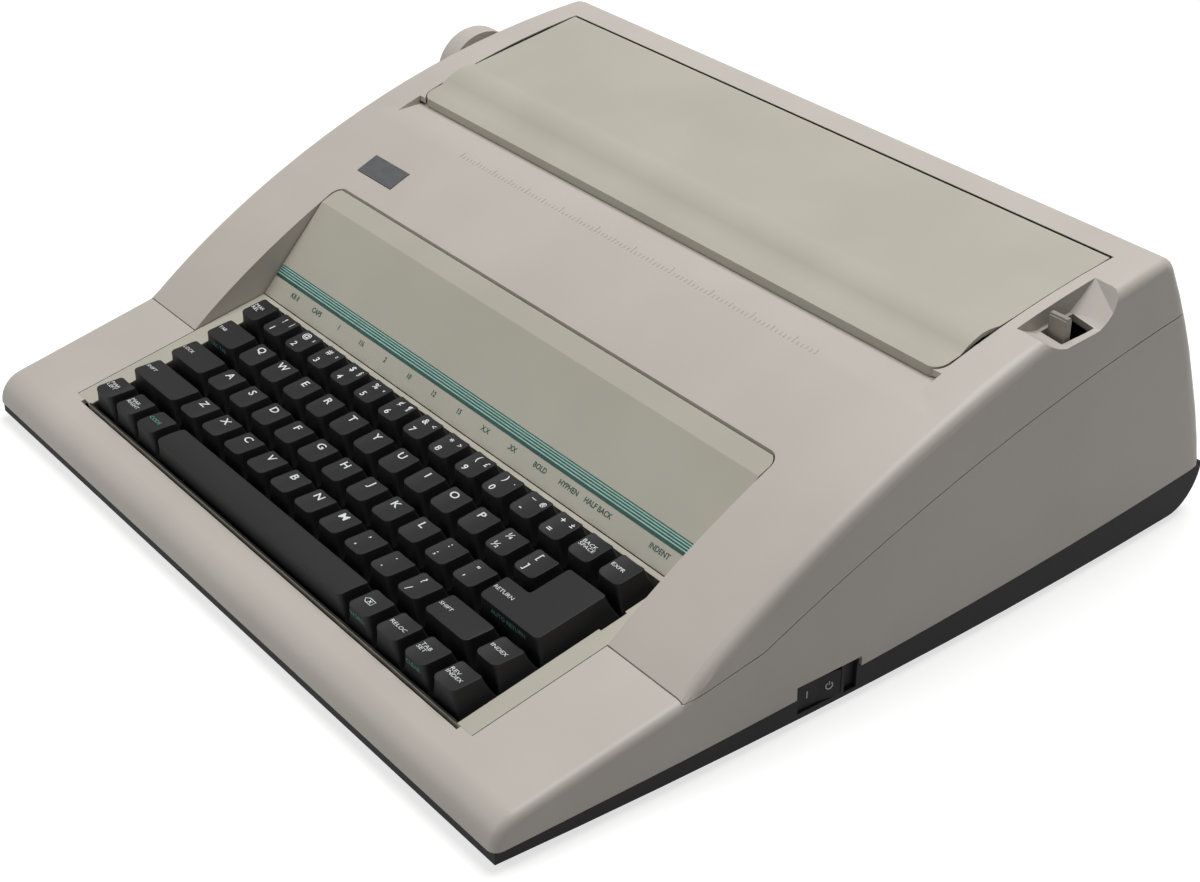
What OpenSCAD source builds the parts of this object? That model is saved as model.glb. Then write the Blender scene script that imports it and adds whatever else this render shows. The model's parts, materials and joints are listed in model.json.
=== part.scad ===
// Portable electronic typewriter with a sloping keyboard and a hinged top lid.
// The front face is at y = 0, the floor at z = 0 and the centre plane at x = 0
// until placed() moves the model to the middle of its box.

/* [Body] */
// Half width of the case at its widest place
body_half = 200.5; // [199:0.5:202]
// Distance from the front face to the widest place
widest_y = 149; // [140:1:158]
// Radius of the bowed side walls, seen from above
plan_radius = 2900; // [2600:50:3600]
// Inward lean of the side walls in degrees
side_lean = 1.35; // [1.1:0.05:1.6]
// Depth of the case
case_depth = 377; // [374:0.5:380]
// Wall of the moulded shells
wall = 2.5; // [2.3:0.1:2.8]
// Radius of the rounded front edge
front_radius = 13; // [12:0.5:14]
// Radius of the long edges of the keyboard deck
deck_edge_radius = 4; // [3.5:0.5:4.5]
// Height of the seam above the base, at the front
parting_front = 9; // [8.7:0.1:9.3]
// Rise of that seam towards the back in degrees
parting_slope = 2.2; // [2.1:0.05:2.3]
// Gap at each seam of the case
seam_gap = 0.45; // [0.3:0.05:0.5]

/* [Keyboard] */
// Slope of the keyboard in degrees
tilt = 11.6; // [11.2:0.1:12]
// Distance between neighbouring keys
pitch = 19.05; // [18.9:0.05:19.1]
// Distance of the bottom letter row from the front
home_y = 49; // [48.5:0.5:50]
// Height of the key tops in that row
home_z = 36; // [35.8:0.1:36.4]
// Height of the key tops above the deck
key_proud = 6; // [5.8:0.1:6.3]
// Length and width of a single key's foot
cap_base = 18.2; // [17.8:0.1:18.4]
// Width of a single key's top
top_width = 13; // [12.5:0.1:13.5]
// Depth of a key's top
top_depth = 13.6; // [13.2:0.1:14]
// Depth of the keys' skirts below the plane of their tops
cap_height = 10.5; // [10.2:0.1:10.6]
// Wall of a key
cap_wall = 1.3; // [1.1:0.1:1.5]
// Depth of the hollow in a key's top
dish_depth = 0.55; // [0.4:0.05:0.7]
// Travel of a key
key_travel = 3.5; // [3:0.1:3.5]
// Radius of a key's stem
stem_radius = 2.6; // [2.2:0.1:2.8]
// Thickness of the plate that guides the stems
guide_thick = 2.6; // [2.2:0.1:2.8]
// Distance of the key well's left edge from the centre plane
well_left = 143.2; // [143.1:0.1:144]
// Distance of the key well's right edge from the centre plane
well_right = 145.6; // [145:0.1:146]
// Half width of the plate round the keys
surround_half = 154.6; // [154:0.1:154.8]
// Thickness of the plate round the keys
surround_thick = 1.5; // [1.2:0.1:1.6]

/* [Upper cover] */
// Distance of the side legs' feet from the front
leg_y = 81; // [80:0.5:82]
// Slope of the side legs at their feet in degrees
leg_slope = 39.6; // [38:0.2:41]
// Distance of the upper rear edge from the front
crown_y = 328.5; // [327:0.5:330]
// Height of the upper rear edge
crown_z = 132; // [131:0.25:133]
// Slope of the top at the rear in degrees
crown_slope = 5; // [4.5:0.25:5.5]
// Radius of the upper cover's long edges
shoulder_radius = 5; // [4.5:0.5:5.5]
// Radius of the upper rear edge
rear_edge_radius = 8; // [7.5:0.5:9]
// Inner distance of the side legs from the centre plane
leg_inner = 154.9; // [154.7:0.1:155.1]
// Distance of the legend panel's bend from the front
panel_bend_y = 152.7; // [152:0.1:153]
// Height of the legend panel's bend
panel_bend_z = 81.7; // [81.2:0.1:82]
// Distance of the legend panel's upper edge from the front
panel_end_y = 162.5; // [162:0.1:163]
// Height of the legend panel's upper edge
panel_end_z = 86.2; // [86:0.1:86.4]
// Thickness of the legend panel
panel_thick = 2.2; // [2:0.1:2.4]
// Length of the badge plate
badge_length = 28; // [26:0.5:30]
// Depth of the badge plate
badge_depth = 11.8; // [11:0.1:12.5]
// Thickness of the badge plate
badge_thick = 0.8; // [0.7:0.1:1]

/* [Lid] */
// Half width of the lid
lid_half = 174; // [173.5:0.1:174.2]
// Side and front gap round the lid
lid_gap = 0.8; // [0.7:0.1:1]
// Thickness of the lid
lid_thick = 2; // [1.8:0.1:2.1]
// Distance of the lid's front lip from the front
lid_front_y = 223.5; // [223:0.1:224]
// Distance of the lid's rear edge from the front
lid_rear_y = 316.4; // [316:0.1:317]
// Corner radius of the lid's front corners
lid_corner = 6; // [5:0.5:7]
// Radius of the lid's hinge pins
lid_pin_radius = 1.5; // [1.3:0.1:1.7]

/* [Platen] */
// Distance of the platen's axis from the front
platen_y = 277; // [276.6:0.1:277.4]
// Height of the platen's axis
platen_z = 103; // [102.6:0.1:103.2]
// Radius of the platen
platen_radius = 14; // [13.8:0.1:14.1]
// Half length of the platen
platen_half = 160; // [156:0.5:162]
// Radius of the platen's shaft
shaft_radius = 5; // [4.6:0.1:5.2]
// Radius of the platen knob
knob_radius = 21.5; // [20.5:0.25:22]
// Length of the platen knob
knob_length = 13; // [12:0.5:14]
// Teeth of the platen gear
platen_teeth = 32; // [30:1:32]
// Teeth of the feed pinion
pinion_teeth = 12; // [11:1:13]
// Tooth module of both gears
gear_module = 1; // [0.95:0.01:1]

/* [Mechanism] */
// Inner distance of the chassis plates from the centre plane
plate_inner = 166; // [165:0.5:167]
// Thickness of the chassis plates
plate_thick = 2; // [1.5:0.25:2.25]
// Radius of the carriage rails
rail_radius = 4; // [3.5:0.25:4.25]
// Height of the carriage rails
rail_z = 42; // [41:0.5:43]
// Distance of the front rail from the front
rail_front_y = 228; // [227.5:0.1:228.5]
// Distance of the rear rail from the front
rail_rear_y = 248; // [247.5:0.1:248.5]
// Travel of the carriage to each side
carriage_travel = 112; // [100:1:113]
// Radius of the daisy wheel
wheel_radius = 37; // [35.5:0.5:37.5]
// Height of the daisy wheel's axis
wheel_z = 67; // [66.5:0.1:67.5]
// Plane of the daisy wheel, from the front
wheel_y = 258; // [257.8:0.1:258.2]
// Radius of the belt pulley
pulley_radius = 6; // [5.5:0.25:6.5]

/* [Base] */
// Height of the rubber feet
foot_height = 3.5; // [3:0.25:4]
// Radius of the rubber feet
foot_radius = 9; // [8:0.5:11]
// Floor thickness of the base
floor_thick = 2.5; // [2:0.25:2.75]
// Inset of the base under the case
base_inset = 1.2; // [1:0.1:1.5]
// Radius of the base's lower rear edge
base_rear_radius = 20; // [18:1:21]
// Radius of the screws
screw_radius = 1.5; // [1.25:0.25:1.5]

/* [Hidden] */
$fn = 48;
KEY_BANKS = ["keys_1_q_a_z", "keys_2_w_s_x", "keys_3_e_d_c", "keys_4_r_f_v", "keys_5_t_g_b",
    "keys_6_y_h_n", "keys_7_u_j_m", "keys_8_i_k_comma", "keys_9_o_l_period", "keys_0_p_slash",
    "keys_symbols"];
// Each function key: name, left edge and right edge in key units, row above the bottom letter row
FUNCTION_KEYS = [
    ["key_margin_release", -1.5, -0.5, 3],
    ["key_back_space", 11.5, 12.5, 3],
    ["key_express", 12.5, 13.5, 3],
    ["key_tab", -1.5, 0, 2],
    ["key_return", 11.25, 13.5, 1],
    ["key_lock", -1.5, 0.25, 1],
    ["key_shift_left", -1.5, 0.75, 0],
    ["key_shift_right", 10.75, 12.5, 0],
    ["key_index", 12.5, 13.5, 0],
    ["key_margin_left", -1.5, -0.5, -1],
    ["key_margin_right", -0.5, 0.5, -1],
    ["key_code", 0.5, 1.5, -1],
    ["key_space", 1.5, 9.5, -1],
    ["key_erase", 9.5, 10.5, -1],
    ["key_relocate", 10.5, 11.5, -1],
    ["key_tab_set", 11.5, 12.5, -1],
    ["key_reverse_index", 12.5, 13.5, -1]];

// Clearances
pin_clear = 0.05;
press_gap = 0.02;
stem_clear = 0.08;
run_clear = 0.3;
flush_clear = 0.05;
bite = 0.01;
far = 500;

// Row offsets of the character keys in key units, from the bottom letter row up
ROW_OFFSET = [1.25, 0.75, 0.5, 0];
// Height of the key tops above their common plane and fall to the back in degrees, in the same order
ROW_HEIGHT = [0.4, -0.2, 0.25, 1.4];
ROW_FALL = [10.4, 7.5, 3.8, 2.4];
front_row_height = 1.6;
front_row_fall = 9.6;
return_height = 1;
return_fall = 1.5;
centre_column = 6;
top_forward = 0.45;

knob_inner = body_half - 3;
knob_reach = knob_inner + knob_length;
frame_dx = (knob_reach - body_half) / 2;
frame_dy = -case_depth / 2;

// The planes and curves of the case
function unit(v) = v / norm(v);
function parting_z(y) = parting_front + tan(parting_slope) * y;
function key_plane_z(y, c) = home_z + c / cos(tilt) + tan(tilt) * (y - home_y);
function deck_z(y) = key_plane_z(y, -key_proud);
function bezier(a, b, c, d, t) =
    a * (1 - t) ^ 3 + 3 * b * t * (1 - t) ^ 2 + 3 * c * t ^ 2 * (1 - t) + d * t ^ 3;
function side_x(y, z) =
    body_half - (y - widest_y) ^ 2 / (2 * plan_radius) - tan(side_lean) * (z - parting_z(y));

leg_handle = 40;
crown_handle = 126;
hood_start = [leg_y, deck_z(leg_y)];
hood_end = [crown_y, crown_z];
hood_steps = 24;
hood_curve = [for (i = [0 : hood_steps])
    bezier(hood_start, hood_start + leg_handle * [cos(leg_slope), sin(leg_slope)],
        hood_end - crown_handle * [cos(crown_slope), sin(crown_slope)], hood_end, i / hood_steps)];
function hood_z(y) = lookup(y, hood_curve);

// Rounded front edge, tangent to the front face and to the deck
nose_y = front_radius * (1 - sin(tilt));
nose_z = deck_z(nose_y) - front_radius * cos(tilt);
nose_steps = 7;
nose = [for (i = [0 : nose_steps]) let (a = i * (90 - tilt) / nose_steps)
    [front_radius * (1 - cos(a)), nose_z + front_radius * sin(a)]];

// Rounded upper rear edge and the leaning rear wall
rear_top_slope = -59.5;
rear_foot_slope = -79.5;
rear_steps = 7;
rear_handle = 38;
edge_centre = hood_end + rear_edge_radius * [sin(crown_slope), -cos(crown_slope)];
rear_edge = [for (i = [1 : 6]) let (a = crown_slope + i * (rear_top_slope - crown_slope) / 6)
    edge_centre - rear_edge_radius * [sin(a), -cos(a)]];
rear_start = rear_edge[5];
rear_foot_drop = 3;
rear_foot = [case_depth, parting_z(case_depth)]
    + rear_foot_drop * [cos(rear_foot_slope), sin(rear_foot_slope)];
rear_wall = [for (i = [1 : rear_steps])
    bezier(rear_start, rear_start + rear_handle * [cos(rear_top_slope), sin(rear_top_slope)],
        rear_foot - rear_handle * [cos(rear_foot_slope), sin(rear_foot_slope)], rear_foot,
        i / rear_steps)];
rear_tail = rear_foot + 26 * [cos(rear_foot_slope), sin(rear_foot_slope)];
rear_corner_radius = 10;

// Side outline of the whole case with the edge radius at each point
front_draft = 0.15;
body_profile = concat(
    [[-front_draft, -2, deck_edge_radius]],
    [for (p = nose) [p.x, p.y, deck_edge_radius]],
    [[leg_y - 1.5, deck_z(leg_y - 1.5), deck_edge_radius]],
    [for (i = [0 : hood_steps]) [hood_curve[i].x, hood_curve[i].y,
        min(shoulder_radius, deck_edge_radius + i)]],
    [for (p = rear_edge) [p.x, p.y, shoulder_radius]],
    [for (i = [0 : rear_steps - 1]) [rear_wall[i].x, rear_wall[i].y,
        shoulder_radius + (rear_corner_radius - shoulder_radius) * min(1, (i + 1) / 4)]],
    [[rear_tail.x, rear_tail.y, rear_corner_radius]]);

// Seam between the upper cover and the lower case, seen from the side
seam_drop = 1.2;
seam_kink_y = 117.7;
seam_slope = 25;
seam_radius = 681;
seam_steps = 14;
seam_span = 19.7;
seam_kink = [seam_kink_y, deck_z(seam_kink_y) - seam_drop];
seam_arc = [for (i = [0 : seam_steps]) let (a = seam_slope - i * seam_span / seam_steps)
    seam_kink + seam_radius * [sin(seam_slope) - sin(a), cos(a) - cos(seam_slope)]];
function seam_line(lift) = concat(
    [[leg_y + lift, far], [leg_y + lift, deck_z(leg_y) - seam_drop + lift]],
    [for (p = seam_arc) [p.x, p.y + lift]],
    [[far, seam_arc[seam_steps].y + lift], [far, far]]);

// Key well and its plate, measured up the slope from the bottom letter row
surround_low = -30;
surround_high = 69.5;
well_low = -29.6;
well_high = 67;
guide_top = -(cap_height + key_travel + run_clear);
guide_low = guide_top - guide_thick;
stem_low = guide_low - 0.8;
membrane_top = stem_low - key_travel - 0.2;
membrane_thick = 1;
membrane_low = membrane_top - membrane_thick;
base_z = foot_height;
floor_z = base_z + floor_thick;
tray_half = well_right + 3;
tray_wall = 2;
tray_low_y = well_low - 1;
tray_high_y = well_high + 1;

module placed() {
    translate([frame_dx, frame_dy, 0])
        children();
}

module in_keyboard() {
    placed()
        translate([0, home_y, home_z])
            rotate([tilt, 0, 0])
                children();
}

// Turns a drawing of depth and height into a solid between two places across the case
module across(x0, x1) {
    translate([x0, 0, 0])
        rotate([90, 0, 90])
            linear_extrude(x1 - x0)
                children();
}

module box(low, high) {
    translate(low)
        cube(high - low);
}

module rod_x(x0, x1, y, z, r) {
    translate([x0, y, z])
        rotate([0, 90, 0])
            cylinder(h = x1 - x0, r = r);
}

module rod_y(y0, y1, x, z, r) {
    translate([x, y1, z])
        rotate([90, 0, 0])
            cylinder(h = y1 - y0, r = r);
}

module both_sides() {
    children();
    mirror([1, 0, 0])
        children();
}

module rounded_rect(x0, x1, y0, y1, r) {
    translate([x0 + r, y0])
        square([x1 - x0 - 2 * r, y1 - y0]);
    translate([x0, y0 + r])
        square([x1 - x0, y1 - y0 - 2 * r]);
    for (x = [x0 + r, x1 - r], y = [y0 + r, y1 - r])
        translate([x, y])
            circle(r);
}

// One cross-section of the case at a point of its side outline
fillet_steps = 4;
least_edge = 0.8;
function section(i, inset, low) =
    let (p = body_profile[i],
        a = body_profile[max(i - 1, 0)],
        b = body_profile[min(i + 1, len(body_profile) - 1)],
        t = unit([b.x - a.x, b.y - a.y]),
        n = [t.y, -t.x],
        r = max(p.z - inset, least_edge),
        q = [p.x, p.y] + n * (inset + r),
        right = concat(
            [[side_x(q.x, low) - inset, q.x, low]],
            [for (k = [0 : fillet_steps]) let (w = 90 * k / fillet_steps)
                [side_x(q.x, q.y) - inset - r * (1 - cos(w)), q.x - n.x * r * sin(w),
                    q.y - n.y * r * sin(w)]]))
    concat(right, [for (k = [len(right) - 1 : -1 : 0]) [-right[k].x, right[k].y, right[k].z]]);

module body_loft(inset, low) {
    count = len(body_profile);
    ring = 2 * (fillet_steps + 2);
    half = ring / 2;
    points = [for (i = [0 : count - 1]) each section(i, inset, low)];
    sides = [for (i = [0 : count - 2], j = [0 : ring - 1])
        [i * ring + j, i * ring + (j + 1) % ring, (i + 1) * ring + (j + 1) % ring, (i + 1) * ring + j]];
    front = [for (j = [0 : half - 2]) [ring - 1 - j, ring - 2 - j, j + 1, j]];
    last = (count - 1) * ring;
    back = [for (j = [0 : half - 2]) [last + j, last + j + 1, last + ring - 2 - j, last + ring - 1 - j]];
    polyhedron(points = points, faces = concat(sides, front, back), convexity = 8);
}

// Outline of the case seen from above, for the straight base
module plan(inset, y0, y1, r) {
    intersection() {
        translate([plan_radius - body_half, widest_y])
            circle(plan_radius - inset, $fn = 1440);
        translate([body_half - plan_radius, widest_y])
            circle(plan_radius - inset, $fn = 1440);
        rounded_rect(-body_half, body_half, y0 + inset, y1 - inset, r);
    }
}

module base_side(inset, low) {
    end_y = case_depth - inset;
    r = base_rear_radius - inset + base_inset;
    difference() {
        polygon([[-far, low], [end_y, low], [end_y, parting_z(end_y) - seam_gap],
            [-far, parting_z(-far) - seam_gap]]);
        translate([end_y - r, low + r])
            difference() {
                translate([0, -r - 1])
                    square([r + 1, r + 1]);
                circle(r);
            }
    }
}

front_screw = [body_half - 17.5, 30];
rear_screw = [body_half - 17.5, case_depth - 34];
screw_places = [front_screw, rear_screw];
boss_radius = 4.5;
boss_top = floor_z + 8;
screw_head_radius = 3;
screw_head_depth = 1.8;

// The power switch in the right side wall
rocker_y0 = 134.3;
rocker_y1 = 167;
rocker_top = 19.7;
rocker_length = 20.6;
rocker_mid = 146.9;
rocker_low = 6.4;
rocker_high = 18.2;
rocker_face = side_x(rocker_mid, rocker_high) - base_inset;
rocker_axis_x = rocker_face - 5;
rocker_swing = 10;

module rubber_feet() {
    color("#141414")
        placed()
            for (p = [[body_half - 30.5, 34], [body_half - 30.5, case_depth - 47]])
                both_sides()
                    translate([p.x, p.y, 0]) {
                        cylinder(h = 1, r1 = foot_radius - 0.8, r2 = foot_radius);
                        translate([0, 0, 1])
                            cylinder(h = foot_height - 1, r = foot_radius);
                    }
}

// The main board, on posts of the base
board_low = [-130, 130];
board_high = [130, 200];
board_z = floor_z + 8;

module base_pan() {
    rib_xs = [-140, -70, 0, 70, 140];
    rib_front = home_y + tray_low_y * cos(tilt) - membrane_low * sin(tilt);
    rib_back = home_y + tray_high_y * cos(tilt) - membrane_low * sin(tilt);
    color("#1b1b1c")
        placed()
            difference() {
                union() {
                    difference() {
                        intersection() {
                            translate([0, 0, base_z])
                                linear_extrude(40)
                                    plan(base_inset, 0, case_depth, 6);
                            across(-far, far)
                                base_side(base_inset, base_z);
                        }
                        intersection() {
                            translate([0, 0, base_z])
                                linear_extrude(40)
                                    plan(base_inset + wall, 0, case_depth, 4);
                            across(-far, far)
                                base_side(base_inset + wall, floor_z);
                        }
                    }
                    for (x = rib_xs)
                        across(x - 1.5, x + 1.5)
                            polygon([[rib_front, base_z + 1], [rib_back, base_z + 1],
                                [rib_back, key_plane_z(rib_back, membrane_low)],
                                [rib_front, key_plane_z(rib_front, membrane_low)]]);
                    for (p = screw_places)
                        both_sides()
                            translate([p.x, p.y, base_z + 1])
                                cylinder(h = boss_top - base_z - 1, r = boss_radius);
                    for (x = [board_low.x + 6, 0, board_high.x - 6], y = [board_low.y + 6, board_high.y - 6])
                        translate([x, y, base_z + 1])
                            cylinder(h = board_z - base_z - 1, r = 3);
                    box([rocker_axis_x - 6, rocker_y0 + run_clear, base_z],
                        [rocker_face, rocker_y1 - run_clear, rocker_top - seam_gap]);
                }
                for (p = screw_places)
                    both_sides()
                        translate([p.x, p.y, 0]) {
                            cylinder(h = far, r = screw_radius + 0.2);
                            cylinder(h = base_z + screw_head_depth + 0.2, r = screw_head_radius + 0.3);
                        }
                box([rocker_axis_x - 2.5, rocker_mid - rocker_length / 2 - 0.6, rocker_low - 0.3],
                    [far, rocker_mid + rocker_length / 2 + 0.6, rocker_high + 0.3]);
                translate([rocker_axis_x, rocker_mid, base_z + 0.8])
                    cylinder(h = 6, r = lid_pin_radius + pin_clear);
                box([rocker_face - 2, rocker_y1 - 7.5, rocker_low - 1],
                    [far, rocker_y1 - 1.2, rocker_high + 0.6]);
            }
}

module case_screws() {
    color("#8d8f92")
        placed()
            for (p = screw_places)
                both_sides()
                    translate([p.x, p.y, base_z + 0.1]) {
                        cylinder(h = screw_head_depth, r = screw_head_radius);
                        cylinder(h = boss_top - base_z + 7, r = screw_radius - pin_clear);
                    }
}

// The mains inlet in the rear wall
inlet_x = 60.5 - body_half;
inlet_half = 13.5;
inlet_low = 28;
inlet_high = 47;
inlet_face = case_depth - 2;

module lower_case() {
    surround_cut = surround_half + 0.35;
    color("#b9b3ac")
        difference() {
            placed()
                difference() {
                    union() {
                        difference() {
                            body_loft(0, -5);
                            body_loft(wall, -8);
                        }
                        both_sides()
                            deck_strip();
                        both_sides()
                            front_post();
                        both_sides()
                            rear_post();
                    }
                    across(-far, far)
                        polygon(seam_line(0));
                    across(-far, far)
                        polygon([[-far, parting_z(-far)], [far, parting_z(far)], [far, -far], [-far, -far]]);
                    box([body_half - 12, rocker_y0, 0], [far, rocker_y1, rocker_top]);
                    box([inlet_x - inlet_half - 0.2, case_depth - 30, inlet_low - 0.2],
                        [inlet_x + inlet_half + 0.2, far, inlet_high + 0.2]);
                    for (p = screw_places)
                        both_sides()
                            translate([p.x, p.y, 0])
                                cylinder(h = boss_top + 8, r = screw_radius);
                }
            in_keyboard() {
                box([-surround_cut, surround_low - flush_clear, -key_proud - surround_thick],
                    [surround_cut, surround_high + 0.4, 60]);
                box([-well_right - 2.4, well_low - 2.4, -40], [well_right + 2.4, well_high + 2.4, 0]);
            }
        }
}

// Deck under a side leg of the upper cover, from the key well to the side wall
strip_front = leg_y - 4;
strip_back = home_y + surround_high * cos(tilt) + key_proud * sin(tilt) + 1.5;
strip_outer = body_half - 3.3;
strip_drop = seam_drop - 0.2;
module deck_strip() {
    across(well_right, strip_outer)
        polygon([for (p = [[strip_front, wall + 1], [strip_back, wall + 1], [strip_back, strip_drop],
            [strip_front, strip_drop]]) [p.x, deck_z(p.x) - p.y]]);
}

module front_post() {
    translate([front_screw.x, front_screw.y, boss_top + seam_gap])
        cylinder(h = deck_z(front_screw.y) - wall - boss_top, r = boss_radius - 0.5);
}

module rear_post() {
    high = boss_top + 36;
    translate([rear_screw.x, rear_screw.y, boss_top + seam_gap])
        cylinder(h = high - boss_top - seam_gap, r = boss_radius - 0.5);
    box([rear_screw.x, rear_screw.y - 1.5, parting_z(rear_screw.y) + 1],
        [side_x(rear_screw.y, high) - 1, rear_screw.y + 1.5, high]);
}

// Outline of a strip that follows the top at a depth
function follow(y0, y1, steps, drop) =
    [for (i = [0 : steps]) let (y = y0 + (y1 - y0) * i / steps) [y, hood_z(y) - drop]];
function band(upper, lower) =
    concat(upper, [for (i = [len(lower) - 1 : -1 : 0]) lower[i]]);

// The scoop round the paper release lever runs out through the side wall
scoop_inner = 180;
scoop_outer = body_half - 2;
scoop_skin = 2.4;
inner_scoop = [[258.2, hood_z(258.2) + 0.1], [262, 118.2], [266, 116.6], [270, 115.9], [288.3, 117.9],
    [301.4, hood_z(301.4) + 0.1], [301.4, crown_z + 8], [258.2, crown_z + 8]];
outer_scoop = [[257.5, hood_z(257.5) + 0.1], [261, 118], [265, 115.8], [270, 114.3], [290, 115.2],
    [295.2, 118], [300.8, hood_z(300.8) + 0.1], [300.8, crown_z + 8], [257.5, crown_z + 8]];
slot_inner = scoop_inner + 1.4;
slot_outer = scoop_inner + 12.4;
slot_front = 270.4;
slot_back = 288.6;

module scoop(grow) {
    hull()
        for (side = [[scoop_inner - grow, inner_scoop], [scoop_outer, outer_scoop]], shift = [-grow, grow])
            across(side[0], side[0] + 0.1)
                translate([shift, -grow])
                    polygon(side[1]);
}

lid_opening_half = lid_half + lid_gap;
lid_opening_front = lid_front_y - lid_gap;
lid_opening_rear = lid_rear_y + 1.4;
hinge_y = lid_rear_y - 2;
hinge_z = hood_z(lid_rear_y) - lid_thick - 0.5;
hinge_boss_inner = lid_opening_half + 0.2;
hinge_boss_outer = hinge_boss_inner + 5;
recess_front = 210.4;
recess_half = 175.7;
recess_floor = hood_z(lid_front_y) - 4;
apron_front = recess_front - 4;
apron_back = lid_front_y + 5;

module upper_cover() {
    apron_thick = 2.2;
    ledge_inner = lid_half - 3;
    ledge_outer = lid_opening_half + 3;
    ledge_drop = lid_thick + run_clear;
    ledge_thick = 1.8;
    color("#b9b3ac")
        placed() {
            difference() {
                union() {
                    difference() {
                        body_loft(0, -5);
                        body_loft(wall, -8);
                    }
                    both_sides()
                        across(leg_inner, leg_inner + wall)
                            polygon(concat([for (i = [0 : 12]) [hood_curve[i].x, hood_curve[i].y - 1]],
                                [[hood_curve[12].x, deck_z(leg_y)], [leg_y - 1, deck_z(leg_y) - 3]]));
                    across(-recess_half - 2, recess_half + 2)
                        polygon([[apron_front, hood_z(apron_front) - 1],
                            [apron_front, hood_z(apron_front) - 4],
                            [lid_front_y - 2, recess_floor - apron_thick],
                            [apron_back, recess_floor - apron_thick],
                            [apron_back, recess_floor], [lid_front_y, recess_floor],
                            [lid_front_y - 2, hood_z(lid_front_y - 2) - 1]]);
                    both_sides()
                        across(ledge_inner, ledge_outer)
                            polygon(band(follow(apron_back - 2, lid_rear_y - 8, 9, ledge_drop),
                                follow(apron_back - 2, lid_rear_y - 8, 9, ledge_drop + ledge_thick)));
                    both_sides()
                        box([hinge_boss_inner, hinge_y - 5, hinge_z - 4],
                            [hinge_boss_outer, hinge_y + 3.4, hood_z(hinge_y - 5) - 1]);
                    intersection() {
                        body_loft(1, -6);
                        scoop(scoop_skin);
                    }
                }
                across(-far, far)
                    difference() {
                        translate([-far, -far])
                            square(2 * far);
                        polygon(seam_line(seam_gap));
                    }
                translate([0, 0, -1])
                    linear_extrude(far)
                        rounded_rect(-leg_inner, leg_inner, -20, panel_end_y + 0.7, 5.7);
                translate([0, 0, hood_z(lid_front_y) - 3])
                    linear_extrude(far)
                        lid_opening();
                across(-recess_half, recess_half)
                    polygon([[recess_front, hood_z(recess_front)], [lid_front_y, recess_floor],
                        [lid_front_y, far], [recess_front, far]]);
                scoop(0);
                box([slot_inner, slot_front, 60], [slot_outer, slot_back, far]);
                both_sides()
                    rod_x(hinge_boss_inner - 1, hinge_boss_outer - 1, hinge_y, hinge_z,
                        lid_pin_radius + pin_clear);
                rod_x(-far, -plate_inner - 6, platen_y, platen_z, shaft_radius + 2);
                badge_pocket();
            }
            both_sides()
                across(leg_inner - 3, leg_inner + 0.5)
                    polygon(band(panel_line(panel_thick + run_clear, 4), panel_line(panel_thick + 2.8, 4)));
        }
}

module lid_opening() {
    rounded_rect(-lid_opening_half, lid_opening_half, lid_opening_front, lid_opening_rear - 8,
        lid_corner + lid_gap);
    translate([-lid_opening_half, lid_opening_front + 20])
        square([2 * lid_opening_half, lid_opening_rear - lid_opening_front - 20]);
}

badge_x = -141.5;
badge_y = 179.15;
badge_slope = atan((hood_z(badge_y + 5) - hood_z(badge_y - 5)) / 10);

module at_badge() {
    translate([badge_x, badge_y, hood_z(badge_y)])
        rotate([badge_slope, 0, 0])
            children();
}

module badge_pocket() {
    at_badge()
        translate([0, 0, 5 - 0.5])
            cube([badge_length + 0.4, badge_depth + 0.4, 10], center = true);
}

module badge_plate() {
    color("#5a5b5d")
        placed()
            at_badge()
                translate([0, 0, badge_thick / 2 - 0.45])
                    cube([badge_length, badge_depth, badge_thick], center = true);
}

// The legend panel's side outline at a depth below its face, without a margin at both ends
panel_foot = [118.2, deck_z(118.2)];
panel_bend = [panel_bend_y, panel_bend_z];
panel_end = [panel_end_y, panel_end_z];
function panel_line(drop, margin) =
    let (u = unit(panel_bend - panel_foot), v = unit(panel_end - panel_bend),
        m = unit(u + v), k = drop / cos((atan2(u.y, u.x) - atan2(v.y, v.x)) / 2))
    [panel_foot + [u.y, -u.x] * drop + u * margin,
        panel_bend + [m.y, -m.x] * k,
        panel_end + [v.y, -v.x] * drop - v * margin];

module legend_panel() {
    half = leg_inner - 0.6;
    color("#b3b0a2")
        placed()
            intersection() {
                across(-half, half)
                    polygon(band(panel_line(0, 0.4), panel_line(panel_thick, 0.4)));
                linear_extrude(far)
                    rounded_rect(-half, half, 20, panel_end_y, 5);
            }
}

module keyboard_surround() {
    skirt_low = guide_top + run_clear;
    color("#b3b0a2")
        in_keyboard()
            difference() {
                union() {
                    box([-surround_half, surround_low, -key_proud - surround_thick],
                        [surround_half, surround_high, -key_proud]);
                    box([-well_left - 2, well_low - 0.6, skirt_low],
                        [well_right + 2, well_high + 2, -key_proud - 0.5]);
                }
                box([-well_left, well_low, -40], [well_right, well_high, 0]);
                box([well_right - 1, 35, -key_proud - 4], [well_right + 1.3, 47.5, 0]);
            }
}

// The lid's outline from its front lip over the wave to the rear edge
lid_kink = [255.5, hood_z(255.5) + 0.1];
lid_rear = [lid_rear_y, hood_z(lid_rear_y)];
lid_top = [[lid_front_y, hood_z(lid_front_y) + 0.4], [229.5, hood_z(229.5) + 0.3],
    [234.7, hood_z(234.7) - 0.1], [238, hood_z(238) + 1.2], [241.5, hood_z(241.5) + 2.1],
    [246, hood_z(246) + 2.6], [250.5, hood_z(250.5) + 1.8], lid_kink, lid_rear];

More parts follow.
